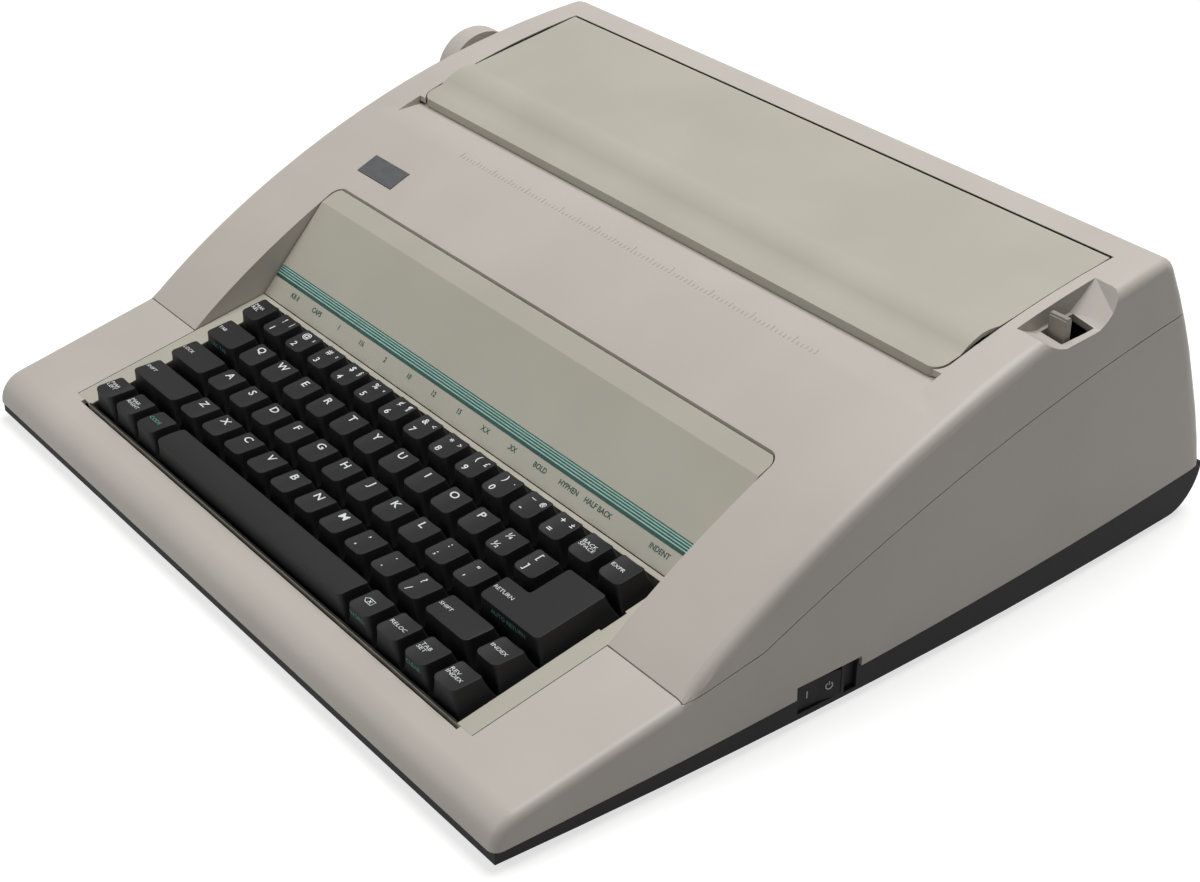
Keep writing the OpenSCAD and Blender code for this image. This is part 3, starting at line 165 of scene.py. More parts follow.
# %% Camera
FOCAL_PIXELS, IMAGE_WIDTH, SENSOR = 2167.3, 1200, 36.0
CAMERA_PLACE = (659.06, -313.47, 504.35)
CAMERA_TURN = (59.2347, -0.0876, 52.25)
camera_data = bpy.data.cameras.new("photo_camera")
camera_data.sensor_width = SENSOR
camera_data.lens = FOCAL_PIXELS / IMAGE_WIDTH * SENSOR
camera = bpy.data.objects.new("photo_camera", camera_data)
camera.location = at(*CAMERA_PLACE)
camera.rotation_euler = [math.radians(a) for a in CAMERA_TURN]
bpy.context.scene.collection.objects.link(camera)
bpy.context.scene.camera = camera
print("lens:", round(camera_data.lens, 2), "mm")

# %% [markdown]
# Colours are chosen as they look on a screen, but Blender calculates with light. One function
# turns a hex value into the linear numbers that a shader needs, and one more adds a shader node,
# sets it and connects it, so that a whole material reads like a list.

# %% Colours and nodes


def linear(hex_colour):
    """The sRGB formula, from a hex value to linear red, green, blue and alpha."""
    channels = [int(hex_colour[i:i + 2], 16) / 255 for i in (1, 3, 5)]
    return [c / 12.92 if c <= 0.04045 else ((c + 0.055) / 1.055) ** 2.4 for c in channels] + [1.0]


def add(tree, kind, inputs=None, **settings):
    """Add a node, set its properties, and set or connect its inputs."""
    made = tree.nodes.new(kind)
    for name, value in settings.items():
        setattr(made, name, value)
    for name, value in (inputs or {}).items():
        if isinstance(value, bpy.types.NodeSocket):
            tree.links.new(value, made.inputs[name])
        else:
            made.inputs[name].default_value = value
    return made


def bare_tree(owner):
    """The emptied node tree of a material or a world."""
    owner.use_nodes = True
    owner.node_tree.nodes.clear()
    return owner.node_tree


def new_material(name, **surface):
    """A material with one shader, and the place on the object that its patterns start from."""
    material = bpy.data.materials.new(name)
    tree = bare_tree(material)
    shader = add(tree, "ShaderNodeBsdfPrincipled", {k.replace("_", " "): v for k, v in surface.items()})
    add(tree, "ShaderNodeOutputMaterial", {"Surface": shader.outputs["BSDF"]})
    place = add(tree, "ShaderNodeTexCoord").outputs["Object"]
    return material, tree, shader, place


print("a middle grey in linear light:", round(linear("#808080")[0], 3))

# %% [markdown]
# No real surface has one flat colour. Two patterns serve nearly every material here: a broad,
# faint mottle between two close colours, and a fine grain that breaks up the highlight. Both are
# noise that fills space, so no unwrapping is needed, and both are given by a real size.

# %% Mottle and grain
MOTTLE_STOPS = (0.35, 0.65)
ROUGH_SPREAD = 0.04


def mottle(tree, shader, place, dark, light, size_mm):
    """A broad, faint change of colour, as on any large moulded part."""
    cloud = add(tree, "ShaderNodeTexNoise", {"Vector": place, "Scale": 1 / (size_mm * MM), "Detail": 2.0})
    ramp = add(tree, "ShaderNodeValToRGB", {"Fac": cloud.outputs["Fac"]})
    for stop, position, colour in zip(ramp.color_ramp.elements, MOTTLE_STOPS, (dark, light)):
        stop.position, stop.color = position, linear(colour)
    tree.links.new(ramp.outputs["Color"], shader.inputs["Base Color"])


def grain(tree, shader, place, size_mm, depth_mm, rough):
    """A fine grain: it breaks up the highlight and changes the roughness a little."""
    fine = add(tree, "ShaderNodeTexNoise", {"Vector": place, "Scale": 1 / (size_mm * MM), "Detail": 3.0})
    bump = add(tree, "ShaderNodeBump", {"Height": fine.outputs["Fac"], "Distance": depth_mm * MM,
                                        "Strength": 1.0})
    tree.links.new(bump.outputs["Normal"], shader.inputs["Normal"])
    spread = add(tree, "ShaderNodeMapRange", {"Value": fine.outputs["Fac"],
                                              "To Min": rough - ROUGH_SPREAD,
                                              "To Max": rough + ROUGH_SPREAD})
    tree.links.new(spread.outputs["Result"], shader.inputs["Roughness"])


print("roughness varies by", ROUGH_SPREAD, "to either side")

# %% [markdown]
# The casing is injection-moulded ABS. The mould's surface is spark-eroded, which leaves a fine
# grain of about a third of a millimetre and a soft, even sheen. A grain as fine as that would be
# lost in the render, so it is drawn at 0.6 mm. The keys are moulded in a harder black plastic
# with a finer grain, and the base in the same ABS as the casing, dyed black. Plain gloss would
# turn both grey under these lamps, so their specular level is lower.

# %% Moulded plastics
CLOUD_MM = 60


def moulded_plastic(name, dark, light, rough, grain_mm=0.6, depth_mm=0.012, ior=1.53, specular=0.5):
    material, tree, shader, place = new_material(name, IOR=ior, Specular_IOR_Level=specular)
    mottle(tree, shader, place, dark, light, CLOUD_MM)
    grain(tree, shader, place, grain_mm, depth_mm, rough)
    return material


case_abs = moulded_plastic("moulded_abs_warm_grey", "#BDB6AE", "#C2BBB3", 0.5)
panel_abs = moulded_plastic("moulded_abs_stone", "#B2AEA0", "#B7B3A5", 0.5)
lever_plastic = moulded_plastic("moulded_abs_taupe", "#8F8C82", "#96938A", 0.45)
base_abs = moulded_plastic("moulded_abs_black", "#101010", "#141414", 0.7, specular=0.25)
key_plastic = moulded_plastic("key_plastic_black", "#131315", "#171719", 0.55, grain_mm=0.35,
                              depth_mm=0.006, ior=1.5, specular=0.4)
guide_plastic = moulded_plastic("glass_filled_nylon_black", "#0B0B0C", "#0E0E0F", 0.7)
carriage_plastic = moulded_plastic("glass_filled_nylon_slate", "#66696D", "#6E7175", 0.55)
wheel_plastic = moulded_plastic("nylon_black", "#202123", "#27282A", 0.4)
gear_plastic = moulded_plastic("acetal_natural", "#E2DDCF", "#E8E4D8", 0.35, grain_mm=0.8,
                               depth_mm=0.004, ior=1.48)
print("moulded plastics:", len(bpy.data.materials))

# %% [markdown]
# Rubber is almost as dark as the base but scatters light more, so it is rougher. Sheet steel for
# the chassis is zinc plated: a metal with a mottled, frosty look, called spangle, which the cells
# of a Voronoi pattern give. The shafts are ground, and fine lines run round them. Real grinding
# lines are too fine to show, so these stand a sixth of a millimetre apart.

# %% Rubber and metals
GRINDING_MM = (1 / 6, 2.5, 2.5)
GRINDING_DEPTH_MM = 0.004


def vulcanised_rubber(name, dark, light):
    material, tree, shader, place = new_material(name, IOR=1.52)
    mottle(tree, shader, place, dark, light, size_mm=12)
    grain(tree, shader, place, size_mm=0.9, depth_mm=0.02, rough=0.8)
    return material


def plated_steel(name, dark, light, rough, spangle_mm):
    material, tree, shader, place = new_material(name, Metallic=1.0)
    cells = add(tree, "ShaderNodeTexVoronoi", {"Vector": place, "Scale": 1 / (spangle_mm * MM)})
    ramp = add(tree, "ShaderNodeValToRGB", {"Fac": cells.outputs["Color"]})
    for stop, colour in zip(ramp.color_ramp.elements, (dark, light)):
        stop.color = linear(colour)
    tree.links.new(ramp.outputs["Color"], shader.inputs["Base Color"])
    grain(tree, shader, place, size_mm=1.0, depth_mm=0.004, rough=rough)
    return material


def ground_steel(name, colour, rough):
    material, tree, shader, place = new_material(name, Metallic=1.0, Base_Color=linear(colour),
                                                 Roughness=rough)
    stretched = add(tree, "ShaderNodeMapping", {"Vector": place,
                                                "Scale": [1 / (size * MM) for size in GRINDING_MM]})
    lines = add(tree, "ShaderNodeTexNoise", {"Vector": stretched.outputs["Vector"], "Scale": 1.0})
    bump = add(tree, "ShaderNodeBump", {"Height": lines.outputs["Fac"],
                                        "Distance": GRINDING_DEPTH_MM * MM})
    tree.links.new(bump.outputs["Normal"], shader.inputs["Normal"])
    return material


soft_rubber = vulcanised_rubber("vulcanised_rubber_black", "#171717", "#1D1D1D")
# painted shade: a black material for the thin strips set in the gaps round the lid and the keyboard
# opening, where they stand in for the shade there
shade_black = vulcanised_rubber("painted_shade_black", "#0A0A0A", "#0E0E0E")
platen_rubber = vulcanised_rubber("ground_rubber_charcoal", "#2A2A2B", "#303031")
zinc_sheet = plated_steel("zinc_plated_sheet_steel", "#9FA2A5", "#B4B7BA", 0.38, spangle_mm=6)
screw_steel = plated_steel("zinc_plated_screw_steel", "#8E9194", "#A5A8AB", 0.35, spangle_mm=2)
motor_paint = plated_steel("blackened_motor_steel", "#55585C", "#606367", 0.45, spangle_mm=4)
shaft_steel = ground_steel("ground_shaft_steel", "#C4C7CA", 0.28)
print("materials so far:", len(bpy.data.materials))

# %% [markdown]
# The printed words are ink: white and a soft teal on the keys, and a dark bottle green on the
# panel, whose band has pale teal between its lines. The badge is a plate of grey anodised
# aluminium, and the circuit board has green solder mask on it. Both layers hide what is under
# them, so they are made as thin coats in the same way as the ink.

# %% Inks and coatings


def thin_coat(name, dark, light):
    material, tree, shader, place = new_material(name, IOR=1.5)
    mottle(tree, shader, place, dark, light, size_mm=3)
    grain(tree, shader, place, size_mm=0.5, depth_mm=0.002, rough=0.55)
    return material


white_ink = thin_coat("printed_ink_white", "#D9DADB", "#E4E5E6")
pale_teal_ink = thin_coat("printed_ink_pale_teal", "#9CC4B9", "#A6CCC2")
dark_ink = thin_coat("printed_ink_bottle_green", "#17463F", "#1C5048")
key_teal_ink = thin_coat("printed_ink_key_teal", "#5A968B", "#649F94")
badge_metal = thin_coat("anodised_aluminium_grey", "#56575A", "#5E5F62")
board_mask = thin_coat("solder_mask_green", "#27543A", "#2F6044")
print("materials for the object:", len(bpy.data.materials))

# %% [markdown]
# Every piece is made in the same steps: a working mesh is turned into an object, gets its
# material, and rides on a body of the drawing. A bevel rounds its edges, and weighted normals
# keep the large faces beside them flat. Modelling each round edge by hand would look the same and
# be much more work.

# %% A piece and its edges
SMOOTH_ANGLE = math.radians(32)
BEVEL_SEGMENTS = 2


def make_piece(work, name, material, body, smooth_angle=None):
    mesh = bpy.data.meshes.new(name)
    work.to_mesh(mesh)
    work.free()
    mesh.materials.append(material)
    if smooth_angle:
        mesh.shade_smooth()
        mesh.set_sharp_from_angle(angle=smooth_angle)
    piece = bpy.data.objects.new(name, mesh)
    bpy.context.scene.collection.objects.link(piece)
    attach(piece, body)
    return piece


def soften(piece, bevel_mm):
    if bevel_mm > 0:
        bevel = piece.modifiers.new("edge", "BEVEL")
        bevel.width = bevel_mm * MM
        bevel.segments = BEVEL_SEGMENTS
        bevel.limit_method = "ANGLE"
        bevel.angle_limit = SMOOTH_ANGLE
        bevel.use_clamp_overlap = True
    piece.modifiers.new("shading", "WEIGHTED_NORMAL").keep_sharp = True


print("edges sharper than", round(math.degrees(SMOOTH_ANGLE)), "degrees are rounded")

# %% [markdown]
# Every exact solid from the drawing has knife-sharp edges, and no moulded part has those. We take
# a copy of the solid, merge its doubled points, dissolve the flat triangles into whole faces, and
# add a small bevel: that rounding is what catches the light along an edge.

# %% Dressing a solid from the drawing
MERGE_MM = 0.002
FLAT_ANGLE = math.radians(0.3)


def islands(work):
    """The separate solids of a mesh, each as its list of faces."""
    left, found = set(work.faces), []
    while left:
        seed = left.pop()
        group, reached = [seed], [seed]
        while reached:
            for edge in reached.pop().edges:
                for face in edge.link_faces:
                    if face in left:
                        left.remove(face)
                        group.append(face)
                        reached.append(face)
        found.append(group)
    return found


def size_of(group):
    """How far a group of faces reaches along x, y and z, in millimetres."""
    points = [v.co for face in group for v in face.verts]
    low = Vector([min(p[i] for p in points) for i in range(3)])
    high = Vector([max(p[i] for p in points) for i in range(3)])
    return (high - low) / MM


def dress(node, material, bevel_mm, keep=None, name=None):
    """A finished piece from a node of the drawing, or from those of its solids that keep() picks."""
    work = bmesh.new()
    work.from_mesh(frame["nodes"][node].data)
    bmesh.ops.remove_doubles(work, verts=work.verts, dist=MERGE_MM * MM)
    if keep:
        for group in islands(work):
            if not keep(size_of(group)):
                bmesh.ops.delete(work, geom=group, context="FACES")
    bmesh.ops.dissolve_limit(work, angle_limit=FLAT_ANGLE, verts=work.verts, edges=work.edges)
    body = frame["nodes"][node]["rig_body"]
    piece = make_piece(work, name or node + "_finished", material, body, SMOOTH_ANGLE)
    soften(piece, bevel_mm)
    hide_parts(node)


print("triangles within", round(math.degrees(FLAT_ANGLE), 1), "degrees become one face")

# %% [markdown]
# The shells that make up the outside each get their plastic and a bevel in millimetres. The
# switch and the base pan have the roundest edges. The knob gets no bevel, because its edge is
# already round in the drawing.

# %% The outer pieces
SHELLS = [("lower_case", case_abs, 0.35),
          ("upper_cover", case_abs, 0.45),
          ("top_lid", panel_abs, 0.3),
          ("keyboard_surround", panel_abs, 0.35),
          ("legend_panel", panel_abs, 0.45),
          ("base_pan", base_abs, 0.5),
          ("platen_knob", case_abs, 0.0),
          ("power_rocker", base_abs, 0.6),
          ("badge_plate", badge_metal, 0.15),
          ("rubber_feet", soft_rubber, 0.4),
          ("mains_inlet", base_abs, 0.3),
          ("paper_release_lever", lever_plastic, 0.35)]
for node, material, bevel_mm in SHELLS:
    dress(node, material, bevel_mm)
print("outer pieces dressed:", len(SHELLS))

# %% [markdown]
# Inside the machine the same small bevel does for the steel and the moulded parts. A node that
# holds several solids of different stuff, such as the platen with its rubber roller, steel shaft
# and gear, is taken apart by the size of each solid.

# %% The mechanism
INSIDE = [("case_screws", screw_steel, 0.15),
          ("key_guide_plate", guide_plastic, 0),
          ("switch_membrane", soft_rubber, 0.2),
          ("chassis_frame", zinc_sheet, 0),
          ("carriage_rails", shaft_steel, 0.3),
          ("stepper_motors", motor_paint, 0.3),
          ("paper_pan", zinc_sheet, 0),
          ("paper_bail", shaft_steel, 0.2),
          ("carriage", carriage_plastic, 0.3),
          ("daisy_wheel", wheel_plastic, 0),
          ("print_hammer", shaft_steel, 0.2),
          ("ribbon_cassette", wheel_plastic, 0.3),
          ("drive_belt", soft_rubber, 0),
          ("belt_idler", gear_plastic, 0.2),
          ("transformer", motor_paint, 0.4),
          ("main_board", board_mask, 0.1)]
for node, material, bevel_mm in INSIDE:
    dress(node, material, bevel_mm)

# sizes in millimetres that tell the solids of a node apart
LONG, THICK, PINION_THICK, PULLEY_WIDE = 100, 20, 5, 8
MIXED = [("platen", platen_rubber, 0.4, lambda size: size.x > LONG and size.y > THICK, "platen_roller"),
         ("platen", shaft_steel, 0.3, lambda size: size.x > LONG and size.y < THICK, "platen_shaft"),
         ("platen", gear_plastic, 0, lambda size: size.x < LONG, "platen_gear"),
         ("feed_pinion", gear_plastic, 0, lambda size: size.y > PINION_THICK, "pinion_gear"),
         ("feed_pinion", shaft_steel, 0.1, lambda size: size.y < PINION_THICK, "pinion_shaft"),
         ("feed_rollers", platen_rubber, 0.3, lambda size: size.x < LONG, "pressure_roller_rubbers"),
         ("feed_rollers", shaft_steel, 0.2, lambda size: size.x > LONG, "pressure_roller_axle"),
         ("belt_pulley", gear_plastic, 0.2, lambda size: size.x > PULLEY_WIDE, "pulley_wheel"),
         ("belt_pulley", shaft_steel, 0.2, lambda size: size.x < PULLEY_WIDE, "pulley_shaft")]
for node, material, bevel_mm, keep, name in MIXED:
    dress(node, material, bevel_mm, keep, name)
print("pieces of the mechanism:", len(INSIDE) + len(MIXED))

# %% [markdown]
# A key cap is a hollow frustum. Its walls start steep at the skirt and lean in towards the top,
# with rounder corners at the typist's side. We loft it from rings: each ring is the cap's outline,
# pulled in a little more than the last. A bevelled block would be quicker, but its walls and
# corners couldn't change on their way up.

# %% Key outlines
CAP_FOOT, CAP_DEEP, CAP_WALL = 18.2, 10.5, 1.3
# how far the four walls lean in from the skirt to the top
SIDE_IN, FRONT_IN, BACK_IN = 2.6, 1.85, 2.75
# a corner's radius at the skirt, how much it grows up to the top, and what the inside loses of it
SKIRT_RADIUS, FRONT_ROUNDING, BACK_ROUNDING = 1.0, 1.6, 0.4
RADIUS_LOSS = 0.5
CORNER_STEPS, EDGE_STEPS = 5, 8
QUARTER_TURN = [math.pi / 2 * k / CORNER_STEPS for k in range(CORNER_STEPS + 1)]


def rect_corners(x0, x1, y0, y1):
    """The corners of a cap's foot, each with the two signs that point into the cap."""
    return [(x0, y0, 1, 1), (x1, y0, -1, 1), (x1, y1, -1, -1), (x0, y1, 1, -1)]


def ring(corners, share, extra):
    """The cap's outline pulled in by a share of its full lean and by extra, with round corners."""
    points = [Vector((x + sx * (SIDE_IN * share + extra),
                      y + sy * ((FRONT_IN if sy > 0 else BACK_IN) * share + extra)))
              for x, y, sx, sy in corners]
    arcs = []
    for i, point in enumerate(points):
        back = (points[i - 1] - point).normalized()
        ahead = (points[(i + 1) % len(points)] - point).normalized()
        rounding = FRONT_ROUNDING if corners[i][3] > 0 else BACK_ROUNDING
        radius = SKIRT_RADIUS + rounding * share - extra * RADIUS_LOSS
        centre = point + (back + ahead) * radius
        arcs.append([centre - ahead * radius * math.cos(t) - back * radius * math.sin(t)
                     for t in QUARTER_TURN])
    out = []
    for arc, following in zip(arcs, arcs[1:] + arcs[:1]):
        out += arc + [arc[-1].lerp(following[0], k / EDGE_STEPS) for k in range(1, EDGE_STEPS)]
    return out


print("points in one ring of a square cap:", len(ring(rect_corners(0, 18, 0, 18), 1, 0)))

# %% [markdown]
# The rows are sculpted: the tops near the typist fall to the back, and the number row lies almost
# in the keyboard's plane. The trough for the fingertip runs up the slope. The space bar and the
# code key are crowned from front to back instead, and the other wide keys are flat. One function
# says how high the top is at any place, and both the cap and the printing on it use it.

# %% The top of a key
# by row, with the home row as 1: the top's height, and its fall in degrees
ROW_UP = {-1: 1.6, 0: 0.4, 1: -0.2, 2: 0.25, 3: 1.4}
ROW_FALL = {-1: 9.6, 0: 10.4, 1: 7.5, 2: 3.8, 3: 2.4}
DISH_DEPTH = 0.6
CROWN_DEPTH, CROWN_HALF = 0.55, 6.8


def plane_height(key, y):
    return key["top"] + math.tan(math.radians(key["fall"])) * (key["mid_y"] - y)


def top_height(key, x, y):
    high = plane_height(key, y)
    if key["shape"] == "trough":
        half = (key["x1"] - key["x0"]) / 2 - SIDE_IN
        return high - DISH_DEPTH * max(0.0, 1 - ((x - key["mid_x"]) / half) ** 2)
    if key["shape"] == "crown":
        return high - CROWN_DEPTH * ((y - key["mid_y"]) / CROWN_HALF) ** 2
    return high


print("the home row falls by", ROW_FALL[1], "degrees to the back")

# %% [markdown]
# The wall goes up in a few levels. Two more rings round the edge at its top, and then the rings
# shrink towards the middle and follow the trough. The inside is the same wall again, pulled in by
# its thickness, so the cap is hollow like the real one and can be looked at from below.

# %% Lofting a cap
# each level is a share of the wall's height and a share of its lean
LEVELS = [(0.0, 0.0), (0.12, 0.2), (0.28, 0.42), (0.48, 0.65), (0.68, 0.82), (0.86, 0.94), (0.97, 0.985)]
EDGE_LOW = 0.12
# how far each of the two rings round the edge is pulled in, and how far it lies below the top
EDGE_RINGS = [(0.06, 0.1), (0.28, 0.0)]
TOP_SHARES = (0.9, 0.75, 0.55, 0.35, 0.15, 0.01)


def loft(work, rings_of_points):
    """Skin a stack of rings and close both its ends."""
    rows = [[work.verts.new(p) for p in points] for points in rings_of_points]
    for a, b in zip(rows, rows[1:]):
        for i in range(len(a)):
            j = (i + 1) % len(a)
            work.faces.new((a[i], a[j], b[j], b[i]))
    work.faces.new(rows[-1])
    work.faces.new(rows[0][::-1])


def cap_ring(key, rise, lean, extra, lowered):
    """One ring of the wall: at rise 0 it lies in the skirt's plane, at rise 1 in the top's."""
    out = []
    for p in ring(key["corners"], lean, extra):
        edge = top_height(key, p.x, p.y) - lowered
        out.append(on_keys(p.x, p.y, -CAP_DEEP + (edge + CAP_DEEP) * rise))
    return out


def cap(work, key):
    """One cap: down the inside to the skirt, up the outside, and in over the top."""
    inner = [cap_ring(key, rise, lean, CAP_WALL, CAP_WALL) for rise, lean in LEVELS[::-1]]
    outer = [cap_ring(key, rise, lean, 0, EDGE_LOW) for rise, lean in LEVELS]
    outer += [cap_ring(key, 1.0, 1.0, extra, lowered) for extra, lowered in EDGE_RINGS]
    if len(key["corners"]) == 4:
        middle = Vector((key["mid_x"], key["mid_y"]))
        edge = ring(key["corners"], 1.0, EDGE_RINGS[-1][0])
        for share in TOP_SHARES:
            shrunk = [middle + (p - middle) * share for p in edge]
            outer.append([on_keys(p.x, p.y, top_height(key, p.x, p.y)) for p in shrunk])
    loft(work, inner + outer)


print("rings in one outer skin:", len(LEVELS) + len(EDGE_RINGS) + len(TOP_SHARES))

# %% [markdown]
# Under each cap a round stem goes down through a bore of the guide plate, which keeps the key
# upright. Two rings make it, one at its low end and one at the cap, and the same loft skins them.

# %% The stem
STEM_LOW, STEM_RADIUS, STEM_SIDES = -17.7, 2.6, 20
STEM_SHORT = 0.2


def stem(work, x, y, top):
    turns = [2 * math.pi * k / STEM_SIDES for k in range(STEM_SIDES)]
    loft(work, [[on_keys(x + STEM_RADIUS * math.cos(t), y + STEM_RADIUS * math.sin(t), z) for t in turns]
                for z in (STEM_LOW, top - CAP_WALL - STEM_SHORT)])


print("stems are", 2 * STEM_RADIUS, "mm thick")

# %% [markdown]
# Each key of the layout is written down once: where its left and right edges are in key units,
# its row, and what is printed on it. The rows are staggered by a quarter or half a key, which is
# how keyboards of this kind are laid out.

# %% The layout
ROW_START = {0: 1.25, 1: 0.75, 2: 0.5, 3: 0.0}
ROW_CHARS = {3: "1234567890-=", 2: "QWERTYUIOP½]", 1: "ASDFGHJKL;'", 0: "ZXCVBNM,./"}
SHIFTED = dict(zip("1234567890-=½];',./", "!@#$%¢&*()_+¼[:\",.?"))
THIRD = dict(zip("1234567890-=", "|²³§°¶<>£·®±"))
BANKS = ["keys_1_q_a_z", "keys_2_w_s_x", "keys_3_e_d_c", "keys_4_r_f_v", "keys_5_t_g_b",
         "keys_6_y_h_n", "keys_7_u_j_m", "keys_8_i_k_comma", "keys_9_o_l_period", "keys_0_p_slash"]
SYMBOL_COLUMNS = [(10, (1, 2, 3)), (11, (2, 3))]
FUNCTION_KEYS = [("key_margin_release", -1.5, -0.5, 3, "MAR\nREL", ""),
                 ("key_back_space", 11.5, 12.5, 3, "BACK\nSPACE", ""),
                 ("key_express", 12.5, 13.5, 3, "EXPR", ""),
                 ("key_tab", -1.5, 0, 2, "TAB", "DEC TAB"),
                 ("key_return", 11.25, 13.5, 1, "RETURN", "AUTO RETURN"),
                 ("key_lock", -1.5, 0.25, 1, "LOCK", ""),
                 ("key_shift_left", -1.5, 0.75, 0, "SHIFT", ""),
                 ("key_shift_right", 10.75, 12.5, 0, "SHIFT", ""),
                 ("key_index", 12.5, 13.5, 0, "INDEX", ""),
                 ("key_margin_left", -1.5, -0.5, -1, "MAR\nLEFT", ""),
                 ("key_margin_right", -0.5, 0.5, -1, "MAR\nRIGHT", ""),
                 ("key_code", 0.5, 1.5, -1, "CODE", ""),
                 ("key_space", 1.5, 9.5, -1, "", ""),
                 ("key_erase", 9.5, 10.5, -1, "", "WORD"),
                 ("key_relocate", 10.5, 11.5, -1, "RELOC", ""),
                 ("key_tab_set", 11.5, 12.5, -1, "TAB\nSET", "CLEAR"),
                 ("key_reverse_index", 12.5, 13.5, -1, "REV\nINDEX", "")]
print("characters in the layout:", sum(len(chars) for chars in ROW_CHARS.values()))

# %% [markdown]
# From its line in the layout each key gets a small record of all that its cap and its print need.
# Keys of about one unit have the trough. The keys that travel together are kept under the name of
# their solid in the drawing.

# %% The keys as records
CAP_GAP = (PITCH - CAP_FOOT) / 2
TOP_FORWARD = 0.45
TROUGH_WIDEST = 1.2
MIDDLE_COLUMN = 6


def key_x(column):
    return (column - MIDDLE_COLUMN) * PITCH


def make_key(left, right, row, char="", word="", front=""):
    x0, x1 = key_x(left) + CAP_GAP, key_x(right) - CAP_GAP
    y0, y1 = row * PITCH - CAP_FOOT / 2, row * PITCH + CAP_FOOT / 2
    mid_x = (x0 + x1) / 2
    return {"x0": x0, "x1": x1, "y0": y0, "y1": y1, "mid_x": mid_x, "mid_y": row * PITCH - TOP_FORWARD,
            "top": ROW_UP[row], "fall": ROW_FALL[row], "corners": rect_corners(x0, x1, y0, y1),
            "shape": "trough" if right - left < TROUGH_WIDEST else "flat",
            "stems": [(mid_x, row * PITCH)], "word_y": row * PITCH,
            "char": char, "word": word, "front": front}


def character_key(column, row):
    middle = column + ROW_START[row]
    return make_key(middle - 0.5, middle + 0.5, row, char=ROW_CHARS[row][column])


keyboard = {name: [character_key(column, row) for row in range(4)] for column, name in enumerate(BANKS)}
keyboard["keys_symbols"] = [character_key(column, row) for column, rows in SYMBOL_COLUMNS for row in rows]
for name, left, right, row, word, front in FUNCTION_KEYS:
    keyboard[name] = [make_key(left, right, row, word=word, front=front)]
print("keys in the layout:", sum(len(keys) for keys in keyboard.values()))

# %% [markdown]
# A few keys are special. The space bar and the code key are crowned, and the bar has three stems
# so that it goes down level. The return key is as tall as two rows and has a step at its upper
# left. Its walls are lofted like the others, but with six corners, and its flat top is one face.

# %% The special keys
SPACE_STEMS = (-60, 0, 60)
RETURN_LEFT = 12.0
RETURN_TOP, RETURN_FALL = 1.0, 1.5

space, code = keyboard["key_space"][0], keyboard["key_code"][0]
space["shape"] = code["shape"] = "crown"
space["stems"] = [(space["mid_x"] + along, -PITCH) for along in SPACE_STEMS]

tall = keyboard["key_return"][0]
tall["top"], tall["fall"], tall["mid_y"] = RETURN_TOP, RETURN_FALL, 1.5 * PITCH
step_x, step_y, high_y = key_x(RETURN_LEFT) + CAP_GAP, tall["y1"], tall["y1"] + PITCH
tall["corners"] = [(tall["x0"], tall["y0"], 1, 1), (tall["x1"], tall["y0"], -1, 1),
                   (tall["x1"], high_y, -1, -1), (step_x, high_y, 1, -1),
                   (step_x, step_y, 1, -1), (tall["x0"], step_y, 1, -1)]
tall["stems"] = [((step_x + tall["x1"]) / 2, row * PITCH) for row in (1, 2)]
print("the return key is", round(high_y - tall["y0"], 1), "mm tall")

# %% [markdown]
# Now the caps themselves. All the keys that travel together become one piece, which stands for
# the plain solid of the drawing and rides on the same body, so that it goes down with it.

# %% Key caps
CAP_SMOOTH_ANGLE = math.radians(40)


def key_piece(node, keys):
    work = bmesh.new()
    for key in keys:
        cap(work, key)
        for x, y in key["stems"]:
            stem(work, x, y, key["top"])
    bmesh.ops.recalc_face_normals(work, faces=work.faces)
    piece = make_piece(work, node + "_cap", key_plastic, node + "_body", CAP_SMOOTH_ANGLE)
    soften(piece, 0)
    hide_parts(node)


for node, keys in keyboard.items():
    key_piece(node, keys)
print("key pieces:", len(keyboard))

# %% [markdown]
# The printing is real geometry, not a picture: a text curve is turned into a thin mesh, and each
# of its points is then dropped onto the surface it is printed on. It stands a few hundredths of a
# millimetre proud, like a thick layer of ink. The larger signs are drawn a little bolder, as on
# the real keys.

# %% Words as thin meshes
INK_PROUD = 0.05
INK_HALF = 0.04
CAPITAL_SHARE = 0.72
LETTER_STEPS, LINE_SPACE = 3, 0.85
BOLDER, BOLD_FROM = 0.018, 2.2


def flat_word(word, capital_mm, width, centred):
    """The word as a mesh: its points in millimetres round its middle, and its faces."""
    curve = bpy.data.curves.new("word", "FONT")
    curve.body = word
    curve.size = capital_mm / CAPITAL_SHARE
    curve.resolution_u = LETTER_STEPS
    curve.space_line = LINE_SPACE
    curve.extrude = INK_HALF
    curve.offset = BOLDER * capital_mm if capital_mm > BOLD_FROM else 0
    curve.align_x = "CENTER" if centred else "LEFT"
    holder = bpy.data.objects.new("word", curve)
    mesh = holder.to_mesh()
    points = [v.co.copy() for v in mesh.vertices]
    faces = [tuple(p.vertices) for p in mesh.polygons]
    holder.to_mesh_clear()
    bpy.data.objects.remove(holder)
    bpy.data.curves.remove(curve)
    low_y, high_y = min(p.y for p in points), max(p.y for p in points)
    low_x, high_x = min(p.x for p in points), max(p.x for p in points)
    middle = Vector(((low_x + high_x) / 2 if centred else low_x, (low_y + high_y) / 2, 0))
    return [Vector(((p.x - middle.x) * width, p.y - middle.y, p.z)) for p in points], faces


def print_words(name, jobs, material, body):
    """jobs: (word, capital height, width, centred, function from a flat point to the frame)."""
    work = bmesh.new()
    for word, capital_mm, width, centred, place in jobs:
        points, faces = flat_word(word, capital_mm, width, centred)
        verts = [work.verts.new(place(p)) for p in points]
        for face in faces:
            work.faces.new([verts[i] for i in face])
    make_piece(work, name, material, body)


print("ink stands", INK_PROUD + INK_HALF, "mm proud")

